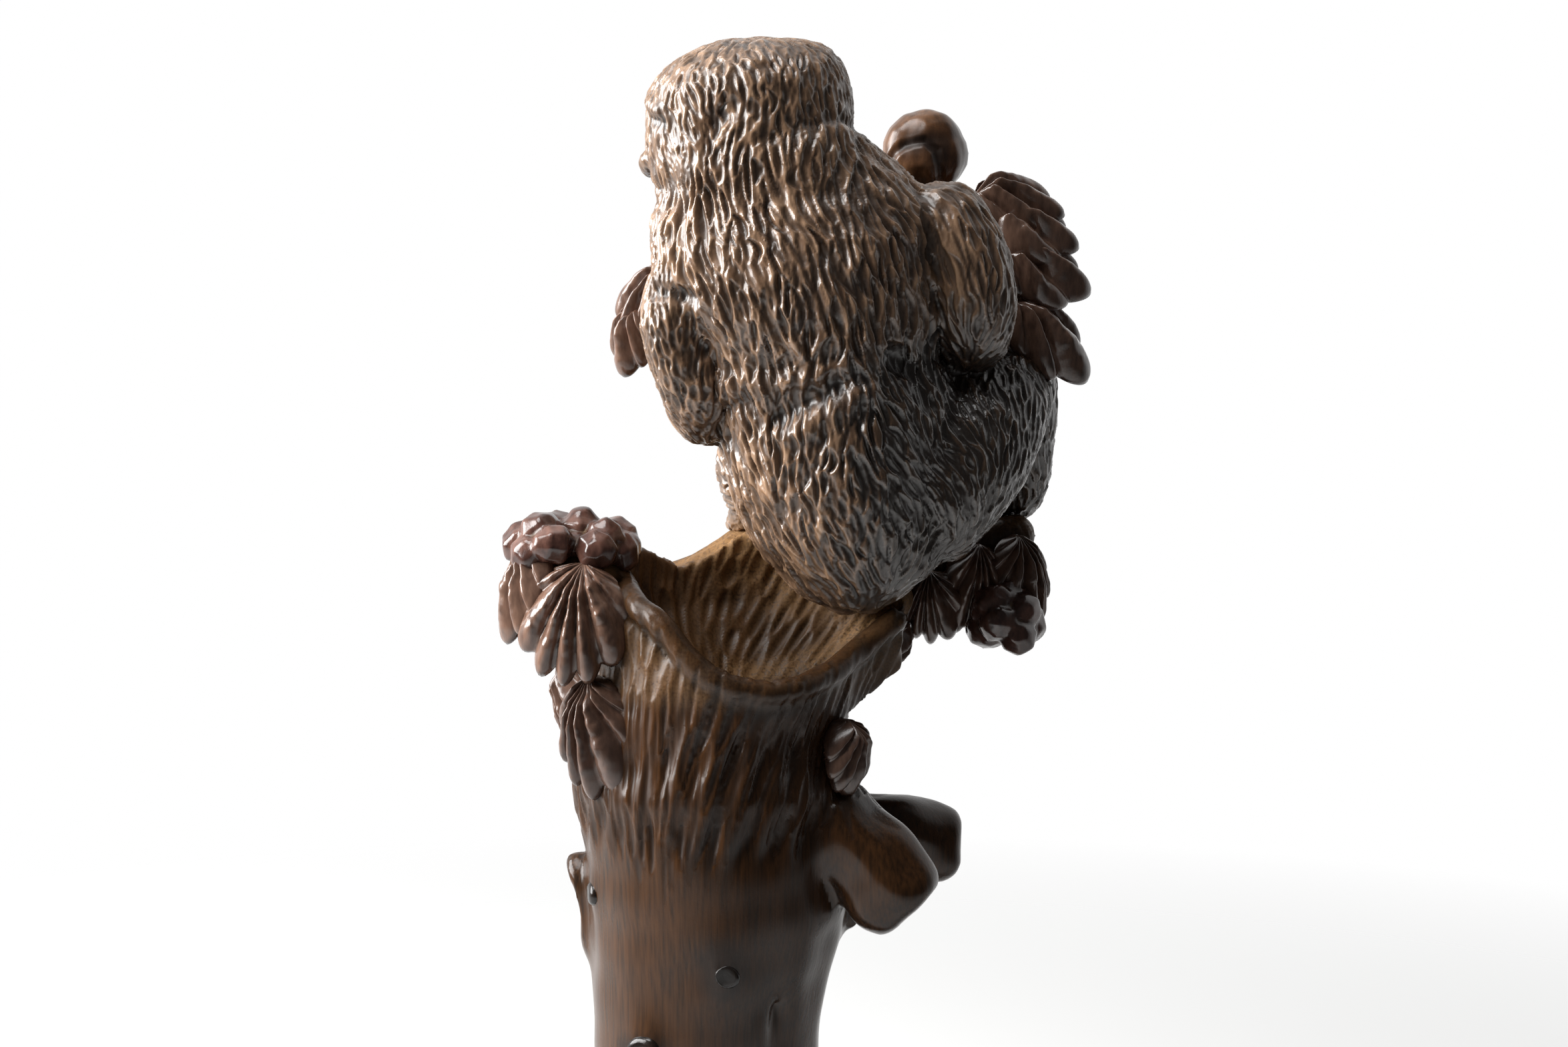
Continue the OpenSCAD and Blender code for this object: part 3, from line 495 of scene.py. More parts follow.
def at_depth(across, down, y):
    """The spot under a pixel at a known distance to the front or back."""
    eye, aim = pixel_ray(across, down)
    return np.array(eye + (aim - eye) * (y - eye.y) / (aim.y - eye.y))


def seen_path(tree, pixels):
    return [seen_at(tree, *pixel) for pixel in pixels]


def hair_anchors(tree, notes):
    """[place, direction] pairs from notes of pixel across, pixel down, and run across for each one down."""
    return [[seen_at(tree, *pixel), np.array([run, 0, 0]) - np.array(IMAGE_UP)] for *pixel, run in notes]


print("image up:", [round(v, 3) for v in IMAGE_UP])

# %% [markdown]
# ## Gouge strokes
# Fur on such a carving is thousands of short cuts with a small veiner, each a lens-shaped groove, laid
# side by side along the lie of the hair so that rounded ridges stand between them. Two rules give that
# look: stroke centres keep their distance in a frame stretched along the hair, and where two strokes
# overlap the deeper one wins.

# %% Strokes
# Side of the cells in which neighbours are looked up, in millimetres.
CELL = 9.0
# Least gap between strokes, as shares of a stroke's length and width.
GAP_ALONG, GAP_ACROSS = 0.6, 1.05
# Width, length and depth of a stroke vary between these shares of its size.
STROKE_SPREAD = [(0.6, 0.55, 0.5), (1.6, 1.35, 1.4)]
# A stroke cuts only skin that faces its way, by this cosine, and lies within this height of its middle.
FACING, LEVEL = 0.2, 3
AROUND = [(i, j, k) for i in (-1, 0, 1) for j in (-1, 0, 1) for k in (-1, 0, 1)]


def flow_from(points, anchors, reach):
    """Directions blended from [place, direction] pairs."""
    places, ways = (np.array([a[k] for a in anchors], float) for k in (0, 1))
    ways /= np.linalg.norm(ways, axis=1)[:, None]
    gap = (points ** 2).sum(1)[:, None] - 2 * points @ places.T + (places ** 2).sum(1)[None]
    weight = np.exp(-gap / (2 * reach ** 2)) + 1e-12
    return weight @ ways / weight.sum(1)[:, None]


def hair_frames(clay, flow, sway):
    """Normal, way along the hair and way across it at every point, turned by sway radians."""
    normal = clay.normals()
    way = flow - (flow * normal).sum(1)[:, None] * normal
    way /= np.maximum(np.linalg.norm(way, axis=1), 1e-6)[:, None]
    across = np.cross(normal, way)
    turned = way * np.cos(sway)[:, None] + across * np.sin(sway)[:, None]
    return normal, turned, np.cross(normal, turned)


def near_cells(cells, key):
    return [cells[c] for c in ((key[0] + i, key[1] + j, key[2] + k) for i, j, k in AROUND) if c in cells]


def scatter_strokes(points, frames, size, wanted, seed, tries):
    """Numbers of the points where a stroke sits. Size has the columns width, length and depth."""
    normal, way, across = frames
    rng = np.random.default_rng(seed)
    order = rng.permutation(np.flatnonzero(wanted > rng.random(len(wanted))))[:tries]
    keys = [tuple(key) for key in np.floor(points[order] / CELL).astype(int)]
    cells, kept = {}, []
    for v, key in zip(order, keys):
        close = [k for cell in near_cells(cells, key) for k in cell]
        if close:
            gap = points[close] - points[v]
            width, length = size[v, :2]
            apart = (gap @ way[v] / (GAP_ALONG * length)) ** 2
            apart = apart + (gap @ across[v] / (GAP_ACROSS * width)) ** 2 + (gap @ normal[v] / width) ** 2
            if apart.min() < 1:
                continue
        cells.setdefault(key, []).append(v)
        kept.append(v)
    return kept


def point_cells(points):
    keys = np.floor(points / CELL).astype(int)
    order = np.lexsort(keys.T)
    starts = np.flatnonzero(np.any(np.diff(keys[order], axis=0), axis=1)) + 1
    return {tuple(keys[group[0]]): group for group in np.split(order, starts)}


def cut_strokes(clay, frames, strokes, size, seed, bend):
    """Depth of the cuts in millimetres, and a different value for each stroke, at every point."""
    normal, way, across = frames
    rng = np.random.default_rng(seed)
    cells = point_cells(clay.points)
    cut = np.zeros(len(clay.points))
    tint = np.full(len(clay.points), 0.5)
    for v in strokes:
        width, length, depth = size[v] * rng.uniform(*STROKE_SPREAD)
        near = np.concatenate(near_cells(cells, tuple(np.floor(clay.points[v] / CELL).astype(int))))
        gap = clay.points[near] - clay.points[v]
        along = 2 * (gap @ way[v]) / length
        side = gap @ across[v] - rng.normal(0, bend) * length * along ** 2
        taper = np.maximum(1 - along ** 2, 0)
        half = 0.62 * width * taper ** 0.8 + 1e-6
        facing = (normal[near] @ normal[v] > FACING) & (np.abs(gap @ normal[v]) < LEVEL)
        deep = depth * taper ** 0.5 * np.clip(1 - (side / half) ** 2, 0, 1) * facing
        won = deep > cut[near]
        cut[near[won]] = deep[won]
        tint[near[won]] = rng.random()
    return cut, tint


def carve(clay, frames, size, wanted, seed, tries, bend):
    """Strokes where they are wanted: their number, depth and tint."""
    strokes = scatter_strokes(clay.points, frames, size, wanted, seed, tries)
    return len(strokes), *cut_strokes(clay, frames, strokes, size, seed + 1, bend)


def furrow(clay, path, radius, depth):
    """How deep a rounded furrow along a path of spots goes at every point."""
    best = np.full(len(clay.points), 1e9)
    for start, end in zip(path[:-1], path[1:]):
        run = np.asarray(end, float) - start
        share = np.clip((clay.points - start) @ run / max(run @ run, 1e-9), 0, 1)
        best = np.minimum(best, np.linalg.norm(clay.points - start - share[:, None] * run, axis=1))
    return depth * np.clip(1 - (best / radius) ** 2, 0, 1) ** 2


def furrows(clay, tree, notes):
    """The furrow of each note of pixels, radius and depth, cut into the clay as it is by then."""
    for pixels, radius, depth in notes:
        yield furrow(clay, seen_path(tree, pixels), radius, depth)


def steps(values, low, high):
    """0 up to low and 1 from high on, with a smooth way between."""
    share = np.clip((values - low) / (high - low), 0, 1)
    return share ** 2 * (3 - 2 * share)


def nearness(points, centre, radius):
    """1 at the centre, falling smoothly to 0 at the radius."""
    return steps(1 - np.linalg.norm(points - np.asarray(centre, float), axis=1) / radius, 0, 1)


def closeness(tree, points, wanted, near, far):
    """For wanted points, 1 up to the near distance from a solid, falling to 0 at the far one."""
    found = [tree.find_nearest(Vector(p), far)[3] for p in points[wanted]]
    close = np.zeros(len(points))
    close[wanted] = 1 - steps(np.array([far if d is None else d for d in found]), near, far)
    return close


print("strokes ready")

# %% [markdown]
# ## From clay back to pieces
# Each point of the skin belongs to the solid it lies nearest to. Averaging that choice with the
# neighbours gives calm borders. Every piece is closed where it was parted: a fan of triangles inside the
# wood, which the next piece's fan meets exactly, and a sharp border so that no shading line shows.

# %% Parting the skin
def keep_largest(points, quads):
    """Drops loose scraps, such as the walls of gaps inside the joints."""
    label = np.arange(len(points))
    sides = np.vstack([quads[:, [0, 1]], quads[:, [1, 2]], quads[:, [2, 3]]])
    while True:
        low = label.copy()
        np.minimum.at(low, sides[:, 0], label[sides[:, 1]])
        np.minimum.at(low, sides[:, 1], label[sides[:, 0]])
        low = low[low]
        if (low == label).all():
            break
        label = low
    wanted = label == np.bincount(label).argmax()
    number = np.cumsum(wanted) - 1
    return points[wanted], number[quads[wanted[quads[:, 0]]]]


def label_shares(clay, names, rounds):
    """For each point, its share in each of the named solids."""
    tree, owner = solid_tree(names), cad_triangles(names)[2]
    label = owner[[tree.find_nearest(Vector(p))[2] for p in clay.points]]
    return clay.spread(np.eye(len(names))[label], rounds)


def border_loops(quads):
    """Chains of border points, in the order that closes the hole."""
    sides = np.vstack([quads[:, [k, (k + 1) % 4]] for k in range(4)])
    big = sides.max() + 1
    lone = sides[~np.isin(sides[:, 0] * big + sides[:, 1], sides[:, 1] * big + sides[:, 0])]
    following = {}
    for a, b in lone.tolist():
        following.setdefault(b, []).append(a)
    loops = []
    while following:
        loop = [next(iter(following))]
        while loop[-1] in following:
            options = following[loop[-1]]
            loop.append(options.pop())
            if not options:
                del following[loop[-2]]
        loops.append(loop[:-1])
    return loops


def show(name, mesh, nodes):
    """A piece of the given mesh in place of the named solids."""
    piece = put(name, mesh)
    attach(piece, "root")
    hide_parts(*nodes)


def make_piece(name, points, faces, material, nodes, masks, borders=()):
    mesh = bpy.data.meshes.new(name)
    mesh.from_pydata((points * MM).tolist(), [], faces)
    mesh.shade_smooth()
    for mask, values in masks.items():
        layer = mesh.attributes.new(mask, "FLOAT", "POINT")
        layer.data.foreach_set("value", np.ascontiguousarray(values, np.float32))
    if borders:
        marked = set(borders)
        sharp = mesh.attributes.new("sharp_edge", "BOOLEAN", "EDGE")
        sharp.data.foreach_set("value", [tuple(sorted(e.vertices)) in marked for e in mesh.edges])
    mesh.materials.append(material)
    show(name, mesh, nodes)


def part_skin(clay, names, shares, suffix, material):
    """One closed piece for each named solid."""
    owner = shares[clay.quads].sum(1).argmax(1)
    for number, name in enumerate(names):
        quads = clay.quads[owner == number]
        used, local = np.unique(quads, return_inverse=True)
        local = local.reshape(-1, 4)
        points, faces, borders = clay.points[used], local.tolist(), []
        masks = {mask: values[used] for mask, values in clay.masks.items()}
        for loop in border_loops(local):
            sides = list(zip(loop, loop[1:] + loop[:1]))
            faces += [(a, b, len(points)) for a, b in sides]
            borders += [tuple(sorted(side)) for side in sides]
            points = np.vstack([points, points[loop].mean(0)])
            masks = {mask: np.append(values, 0) for mask, values in masks.items()}
        make_piece(name + suffix, points, faces, material, [name], masks, borders)
        print("  ", name, len(faces), "faces")


print("parting ready")

# %% [markdown]
# ## Figure
# Torso, rump, head and limbs are separate solids, but the carver blended them, so they are skinned as
# one, smoothed until the roots of the limbs flow into the body, cut with strokes, and only then parted
# again along the old joints. Smoothing is held back on the face, which would lose its brow and eyes.

# %% Figure: one blended skin
FIGURE = ["torso", "rump", "head", "right_arm", "left_arm", "right_leg", "left_leg"]
FIGURE_DOWELS = ["neck_dowel", "waist_dowel", "seat_dowel", "shoulder_dowels", "hip_dowels"]
FIGURE_VOXEL = 0.3
FACE_CENTRE, FACE_RADIUS = (-11, 8, 240), 17
FACE_HOLD = 0.88

# Balls sunk into the surface fill the creases at nape and waist, along paths of pixels, and one elbow.
NAPE = [(1045, 264), (1075, 260), (1105, 255), (1135, 249), (1165, 241), (1200, 229), (1235, 216)]
WAIST = [(1082, 578), (1105, 574), (1130, 570), (1155, 568), (1180, 566), (1205, 563), (1230, 559),
         (1255, 554), (1280, 549), (1305, 544)]
FILL_RADIUS = 4
ELBOW_FILL = [[(38, 4, 196), 5.5]]


def fill_along(pixels, inset):
    return [[spot + (0, inset, 0), FILL_RADIUS] for spot in seen_path(figure_tree, pixels)]


figure_tree = solid_tree(FIGURE)
figure_fill = ELBOW_FILL + fill_along(NAPE, inset=2.2) + fill_along(WAIST, inset=2.4)
filled_figure = with_balls(FIGURE + FIGURE_DOWELS, figure_fill)
figure = Clay(*keep_largest(*voxel_skin(*filled_figure, FIGURE_VOXEL)))
face = nearness(figure.points, FACE_CENTRE, FACE_RADIUS)
figure.smooth(rounds=60, share=0.5 * (1 - FACE_HOLD * face)[:, None])
print("figure:", len(figure.points), "points")

# %% Figure: folds
# Each fold is a path of pixels, a radius and a depth in millimetres. A negative depth raises a ridge.
FOLDS = [
    ([(1180, 180), (1230, 188), (1270, 194), (1292, 200)], 2.4, 0.5),
    ([(1060, 248), (1110, 242), (1160, 232), (1210, 222), (1250, 214)], 10, -2.2),
    ([(1082, 576), (1120, 572), (1160, 568), (1200, 564), (1250, 555), (1290, 547)], 9, -1.6),
    ([(1168, 626), (1198, 610), (1228, 594), (1258, 576), (1290, 554), (1335, 538)], 4.0, 1.7),
    ([(1176, 648), (1215, 634), (1252, 614), (1290, 584)], 4.0, -0.8),
    ([(1092, 158), (1068, 200), (1045, 235), (1025, 265), (1003, 305)], 3.2, 0.9),
    ([(1335, 533), (1372, 556), (1395, 600)], 3.0, 1.0),
    ([(978, 436), (1010, 440), (1036, 448)], 2.2, 1.0),
]
FACE_MARKS = [
    ([(972, 152), (985, 164)], 2.4, -0.9),
    ([(976, 180), (990, 186)], 1.8, 0.7),
    ([(967, 238), (972, 262)], 2.4, -1.2),
    ([(972, 276), (990, 284)], 1.4, 0.6),
]
folded = np.zeros(len(figure.points))
for fold in furrows(figure, figure_tree, FOLDS):
    folded = np.maximum(folded, fold)
    figure.push(-fold)
for mark in furrows(figure, figure_tree, FACE_MARKS):
    folded = np.maximum(folded, 1.5 * np.abs(mark))
    figure.push(-mark)
print("folds:", len(FOLDS), "marks on the face:", len(FACE_MARKS))

# %% Figure: mouth, nostrils and neck
# The photo doesn't show the front of the face, so its cuts are noted in y and z and found along +X.
FACE_CUTS = [
    ([(2, 231.6), (5, 231), (8, 230.8), (11, 231), (13, 231.8)], 1.2, 0.7),
    ([(6.0, 235.2), (6.4, 235.0)], 1.0, 0.6),
    ([(9.2, 235.0), (9.6, 235.2)], 1.0, 0.6),
]
IN_FRONT = -60
# Head and back flow into each other along the neck.
NECK = [(1020, 280), (1060, 277), (1100, 272), (1140, 264), (1180, 254), (1220, 242), (1255, 230)]
NECK_RADIUS = 8

for path, radius, depth in FACE_CUTS:
    hits = [figure_tree.ray_cast(Vector((IN_FRONT, y, z)), Vector((1, 0, 0)))[0] for y, z in path]
    figure.push(-furrow(figure, [np.array(hit) for hit in hits], radius, depth))
neck = furrow(figure, seen_path(figure_tree, NECK), NECK_RADIUS, 0.5)
figure.smooth(rounds=350, share=neck[:, None])
print("cuts in the face:", len(FACE_CUTS))

# %% Figure: lie of the hair
# Pixel across, pixel down, and how far the hair runs across there for each pixel down. Spots that the
# photo doesn't show have a place and a way.
HAIR_SEEN = [
    (1030, 85, -0.25), (1100, 70, 0.1), (1200, 70, 0.2), (1140, 95, 0.4), (1015, 140, 0.5),
    (1075, 120, 0.4), (1060, 180, 0.35), (1010, 200, 0.3), (1110, 165, -0.6), (1150, 165, -0.5),
    (1195, 140, 0.4), (1250, 120, 0.3), (1270, 160, 0.1), (1100, 200, -0.7), (1080, 240, -0.35),
    (1000, 280, 0.4), (1060, 295, -0.1), (1145, 240, 0.35), (1230, 230, 0.25), (1110, 310, 0.4),
    (1165, 290, 0.5), (1210, 295, 0.4), (1010, 340, 0.2), (1060, 370, 0.2), (1125, 370, 0.45),
    (1170, 390, 0.55), (1250, 370, 0.3), (1320, 300, 0.5), (1080, 450, 0.05), (1115, 480, 0.25),
    (1050, 480, 0.2), (1190, 440, 0.3), (1180, 500, -0.1), (1250, 470, 0.05), (1320, 430, 0.4),
    (1345, 500, 0.5), (1090, 550, 0.15), (1150, 570, 0), (1390, 290, 0.5), (1450, 285, 1.8),
    (1480, 330, 0.5), (1440, 370, 0.5), (1500, 400, 0.25), (1512, 455, -0.05), (1495, 520, -0.45),
    (1420, 450, 0.3), (980, 400, 0.15), (1000, 500, 0.1), (1020, 600, 0.35), (1120, 610, 0),
    (1130, 690, 0.05), (1200, 690, 0.05), (1180, 750, 0.15), (1250, 680, 0.1), (1320, 600, 0.1),
    (1375, 620, 0.5), (1350, 700, 0.6), (1400, 690, 2.25), (1430, 740, 4 / 3), (1300, 760, 0.4),
    (1300, 830, 0.5), (1400, 830, -0.75), (1530, 690, -0.4), (1480, 790, -0.7), (1490, 620, 0.2),
]
HAIR_UNSEEN = [
    [(10, 15, 215), (0, 0, -1)], [(-12, 8, 246), (-0.3, 0.2, -0.9)], [(42, 10, 212), (-0.35, 0.9, 0.25)],
    [(-4, 10, 192), (0.3, 0.88, 0.4)], [(55, 15, 180), (0, 0.3, -0.95)], [(10, 15, 240), (0.1, 0.2, -0.95)],
]
figure_flow = flow_from(figure.points, hair_anchors(figure_tree, HAIR_SEEN) + HAIR_UNSEEN, reach=7)
figure_frames = hair_frames(figure, figure_flow, sway=0.22 * ripple(figure.points, size=5, seed=3))
print("hair anchors:", len(HAIR_SEEN) + len(HAIR_UNSEEN))

# %% Figure: strokes
# Width, length and depth of a stroke in millimetres on each part of the body, in FIGURE's order.
STROKE_SIZES = np.array([
    (1.35, 8.5, 0.85), (1.2, 7.5, 0.7), (1.05, 5.0, 0.5), (1.05, 7.5, 0.5), (1.0, 4.5, 0.5),
    (1.0, 6.5, 0.5), (1.0, 5.0, 0.4),
])
FINE_SHARES = (0.5, 0.6, 0.5)
FINE_DEPTH = 0.7
HAND_CENTRES, HAND_RADIUS = [(27.5, 32, 214.6), (9.5, 32, 203)], 11
MUZZLE_CENTRE, MUZZLE_RADIUS = (-14, 9, 236), 11

figure_shares = label_shares(figure, FIGURE, rounds=12)
stroke_size = figure.spread(figure_shares, rounds=40) @ STROKE_SIZES
hands = sum(nearness(figure.points, hand, HAND_RADIUS) for hand in HAND_CENTRES).clip(0, 1)
muzzle = nearness(figure.points, MUZZLE_CENTRE, MUZZLE_RADIUS)
# Strokes are shallower on hands, on the muzzle and in folds, and smaller on the face.
calm = np.maximum(0.9 * hands + 0.75 * muzzle, 0.5 * np.clip(folded / 1.6, 0, 1))
stroke_size *= (1 - 0.5 * face[:, None]) * (1 - (0, 0, 1) * calm[:, None])
stroke_count, figure_cut, figure_tint = carve(
    figure, figure_frames, stroke_size, 1 - hands, seed=11, tries=90000, bend=0.12)
fine_count, fine_cut, _ = carve(
    figure, figure_frames, stroke_size * FINE_SHARES, 0.5 * (1 - hands), seed=13, tries=60000, bend=0.15)
figure_cut += FINE_DEPTH * fine_cut
figure_hollow = figure.hollow(rounds=80)
figure.push(0.3 * stroke_size[:, 2] + 0.12 * ripple(figure.points, size=3, seed=5) - figure_cut)
figure.smooth(rounds=1, share=0.3)
print("figure strokes:", stroke_count, "and", fine_count, "fine ones")

# %% Figure: masks and pieces
# Dust lies low on the figure, near the tree. The right side below the shoulder is painted darker, as
# painted shade.
DUST_BELOW = 180
SHADED_X, SHADED_Z = (12, 30), (195, 212)

trunk_tree = solid_tree(["trunk", "upper_stem"])
low = figure.z < DUST_BELOW
dust = closeness(trunk_tree, figure.points, low, near=1, far=9)
shaded = steps(figure.points[:, 0], *SHADED_X) * (1 - steps(figure.z, *SHADED_Z))
# Cuts and hollows, and the right side below the shoulder, carry painted shade.
figure.masks = {
    "groove": np.clip(figure_cut / (0.9 * stroke_size[:, 2] + 0.05), 0, 1),
    "shade_and_stain": np.clip(figure_hollow / 0.5 + 1.6 * shaded, 0, 1.8),
    "dust": 0.3 * dust,
    "tint": figure.spread(figure_tint, 2),
}
part_skin(figure, FIGURE, figure_shares, "_carving", FUR_WOOD)

# %% [markdown]
# ## Tree
# Trunk, stem, twigs and stubs look like one log on the real thing. The hollow and the band under its lip
# are gouged, and below that the wood is scraped smooth and polished. The smooth part needs fewer points,
# so its height is squeezed while the skin is made and stretched again afterwards.

# %% Tree: skin
STUBS = ["front_stub", "rear_stub", "small_stub", "left_burl"]
TREE = ["trunk", "upper_stem", "right_twig", "left_twig", "foot_branch"] + STUBS
TREE_VOXEL = 0.535
SMOOTH_BELOW = 104
SQUEEZE = 3

# The lip of the hollow is a rounded roll of wood on the edge: pixel across and down, and its y.
LIP = [
    (938, 872, -6), (944, 894, -12), (958, 912, -16), (980, 928, -18), (1000, 948, -19.5),
    (1030, 984, -21.5), (1062, 1014, -22.5), (1100, 1031, -23), (1150, 1038, -22), (1200, 1030, -19),
    (1250, 1004, -13), (1275, 982, -9), (1300, 960, -6), (1350, 920, -4),
]
LIP_RADIUS, WALL_RADIUS = 2.4, 1.5
LIP_STEPS, WALL_ROWS, ROW_DROP = 6, 6, 1.5


def lip_balls(path):
    """Large balls along the edge, and rows of small ones below that lead back into the wall."""
    balls = []
    for start, end in zip(path[:-1], path[1:]):
        for step in range(LIP_STEPS):
            spot = start + (end - start) * step / LIP_STEPS
            balls.append([spot + (0, -0.3, 0), LIP_RADIUS])
            for row in range(1, WALL_ROWS + 1):
                balls.append([spot + (0, 0.5 + 0.06 * row ** 2, -ROW_DROP * row), WALL_RADIUS])
    return balls


lip_path = [at_depth(*note) for note in LIP]
tree_points, tree_faces = with_balls(TREE + ["knot_plugs"], lip_balls(lip_path))
below = np.minimum(tree_points[:, 2] - SMOOTH_BELOW, 0)
tree_points[:, 2] -= below * (1 - 1 / SQUEEZE)
tree = Clay(*keep_largest(*voxel_skin(tree_points, tree_faces, TREE_VOXEL)))
tree.points[:, 2] += np.minimum(tree.z - SMOOTH_BELOW, 0) * (SQUEEZE - 1)
print("tree:", len(tree.points), "points")

# %% Tree: smoothing
# The polished trunk and the left end of the rim give way most, then the stubs, the outside and the lip.
# The edges of the long groove in the solid are softened further.
LOW_TRUNK = (106, 116)
RIM_HEIGHT = (138, 143)
LEFT_RIM = [([(945, 850), (960, 890), (975, 910)], 9, 0.8)]
LONG_GROOVE = [(7.5, -15, 92), (7.5, -14, 84), (8, -13, 70), (8, -13, 50)]
LEAST_SHARE, MOST_SHARE = 0.12, 0.5

wood_tree = solid_tree(TREE)
tree_shares = label_shares(tree, TREE, rounds=10)


def tree_share(names):
    return tree_shares[:, [TREE.index(name) for name in names]].sum(1)


stubs = tree_share(STUBS)
low_trunk = (1 - steps(tree.z, *LOW_TRUNK)) * (1 - stubs)
outside = 1 - steps(tree.z, *RIM_HEIGHT)
round_off = np.maximum(0.3 * outside, 0.4 * stubs) + low_trunk
round_off += sum(furrows(tree, wood_tree, LEFT_RIM)) + furrow(tree, lip_path, 5, 0.25)
tree.smooth(rounds=19, share=np.clip(round_off, LEAST_SHARE, MOST_SHARE)[:, None])
tree.smooth(rounds=47, share=0.5 * low_trunk[:, None])
tree.smooth(rounds=195, share=furrow(tree, LONG_GROOVE, 9, 0.5)[:, None])
tree.fair(rounds=31)
print("points on stubs:", int(stubs.sum()))

# %% Tree: grain and gouges
GRAIN_SEEN = [
    (960, 1050, 0), (1000, 1100, -0.1), (1050, 1080, -0.25), (1100, 1120, -0.35), (1150, 1100, -0.35),
    (1200, 1100, -0.35), (1240, 1060, -0.35), (1060, 1180, -0.5), (940, 1180, -0.05), (890, 1200, 0),
    (1250, 1140, -0.4), (1100, 960, -0.4), (1150, 930, -0.5), (1200, 930, -0.6), (1250, 940, -0.5),
    (1060, 900, -0.5), (1000, 940, 0.5), (1050, 870, -0.4), (960, 880, 0.3), (1080, 820, -0.3),
    (1000, 1300, 0), (1200, 1300, 0), (1320, 1280, 0.6),
]
GRAIN_UNSEEN = [
    [(0, 30, 120), (0, 0, -1)], [(32, 5, 130), (0, 0, -1)], [(-34, 5, 130), (0, 0, -1)],
    [(20, 22, 200), (0.1, 0, -1)], [(52, 8, 160), (0.3, 0.1, -1)], [(0, 25, 60), (0, 0, -1)],
]
# Width, length and depth of a gouge in millimetres, and how they change inside the hollow.
GOUGE_SIZE, HOLLOW_CHANGE = np.array([1.15, 15, 0.45]), np.array([0.6, -4, 0.15])
GOUGED_FROM = (112, 122)

tree_flow = flow_from(tree.points, hair_anchors(wood_tree, GRAIN_SEEN) + GRAIN_UNSEEN, reach=9)
tree_frames = hair_frames(tree, tree_flow, sway=0.06 * ripple(tree.points, size=12, seed=21))
height = tree.z + 4 * ripple(tree.points, size=9, seed=22)
on_lip = np.clip(2 * furrow(tree, lip_path, 4, 1), 0, 1)
gouged = steps(height, *GOUGED_FROM) * tree_share(["trunk", "foot_branch"])
gouged += 0.6 * tree_share(["upper_stem", "right_twig", "left_twig"])
hollow_inside = steps(tree.z, *RIM_HEIGHT) * tree_share(["trunk"])
gouge_size = GOUGE_SIZE + hollow_inside[:, None] * HOLLOW_CHANGE
# No gouge crosses the lip.
gouged *= 1 - on_lip
gouge_size[:, 2] *= np.clip(gouged, 0.05, 1)
gouge_count, tree_cut, tree_tint = carve(
    tree, tree_frames, gouge_size, gouged, seed=23, tries=60000, bend=0.025)
print("gouges:", gouge_count)

# %% Tree: flutes, lumps, stains and painted shadow
# Two shallow flutes run down the polished wood, and the stubs are lumpy. Dust lies in the hollow and on
# the left arm of the fork, the wood is stained darker round the knots, and a painted shadow lies under the
# lip.
FLUTES = [
    ([(1240, 1420), (1228, 1568), (1225, 1700)], 7.0, 0.9),
    ([(1150, 1200), (1147, 1350), (1150, 1500)], 5.0, 0.4),
]
DUST_LINES = [
    ([(1100, 1010), (1180, 1000), (1250, 970), (1300, 930), (1340, 910)], 4.5, 0.9),
    ([(1020, 840), (1080, 820), (1150, 850), (1180, 880)], 9, 0.8),
    ([(800, 870), (850, 860), (905, 866)], 5, 0.9),
]
KNOT_SPOTS = [
    ([(1080, 1445), (1080, 1475)], 6.5, 2.6), ([(1020, 1258), (1024, 1272)], 2.6, 0.7),
    ([(880, 1315), (880, 1355)], 3.0, 0.8), ([(935, 1568), (985, 1568)], 3.4, 1.8),
]
FLAT_FOOT = (0.5, 4)
SHADOW_BELOW_LIP = (0, -0.5, -3.4)

tree_hollow = tree.hollow(rounds=60)
# A painted shadow runs along the outside just below the lip.
shadow_under_lip = furrow(tree, [spot + SHADOW_BELOW_LIP for spot in lip_path], 2.4, 1.2)
plugged_tree = solid_tree(TREE + ["knot_plugs"])
knot_stain = sum(furrows(tree, plugged_tree, KNOT_SPOTS))
for flute in furrows(tree, wood_tree, FLUTES):
    tree.push(-flute)
lumps = 0.15 * ripple(tree.points, size=6, seed=25) + 0.75 * ripple(tree.points, size=7, seed=26) * stubs
lumps *= steps(tree.z, *FLAT_FOOT)
tree.push(0.25 * gouge_size[:, 2] * np.minimum(gouged, 1) + lumps - tree_cut)
tree_dust = sum(furrows(tree, wood_tree, DUST_LINES))
print("deepest gouge:", round(float(tree_cut.max()), 2), "mm")

# %% Tree: masks and pieces
NEAR_FIGURE = (130, 185)
UNDERSIDE = 0.05

high = (tree.z > NEAR_FIGURE[0]) & (tree.z < NEAR_FIGURE[1])
near_figure = closeness(figure_tree, tree.points, high, near=1, far=8)
# Stain round the knots and on the lip, a painted shadow under the lip, and painted shade in hollows.
stain_and_shadow = np.clip(knot_stain + shadow_under_lip + 0.4 * on_lip, 0, 1.6)
settled = np.clip(0.6 * tree_dust + 0.4 * near_figure + 0.22 * hollow_inside, 0, 1)
tree.masks = {
    "groove": np.clip(tree_cut / (1.3 * gouge_size[:, 2] + 0.05), 0, 1),
    "shade_and_stain": np.clip((tree_hollow - 0.12) / 0.7, 0, 1) + stain_and_shadow,
    "dust": settled * (1 - 0.85 * on_lip),
    "tint": tree.spread(tree_tint, 2),
}
# The flat underside needs no grid, because the parting closes it with a fan of triangles.
underside = (tree.z < UNDERSIDE)[tree.quads].all(1)
tree.quads = tree.quads[~underside]
part_skin(tree, TREE, tree_shares, "_log", TRUNK_WOOD)

# %% [markdown]
# ## Berries, bud and knots
# These solids already have the right places, so each is skinned on its own. Berries keep soft-edged
# facets from the knife, the bud gets the arch of a petal and two dents, and the knots are polished, the
# largest with a hollow in its face.

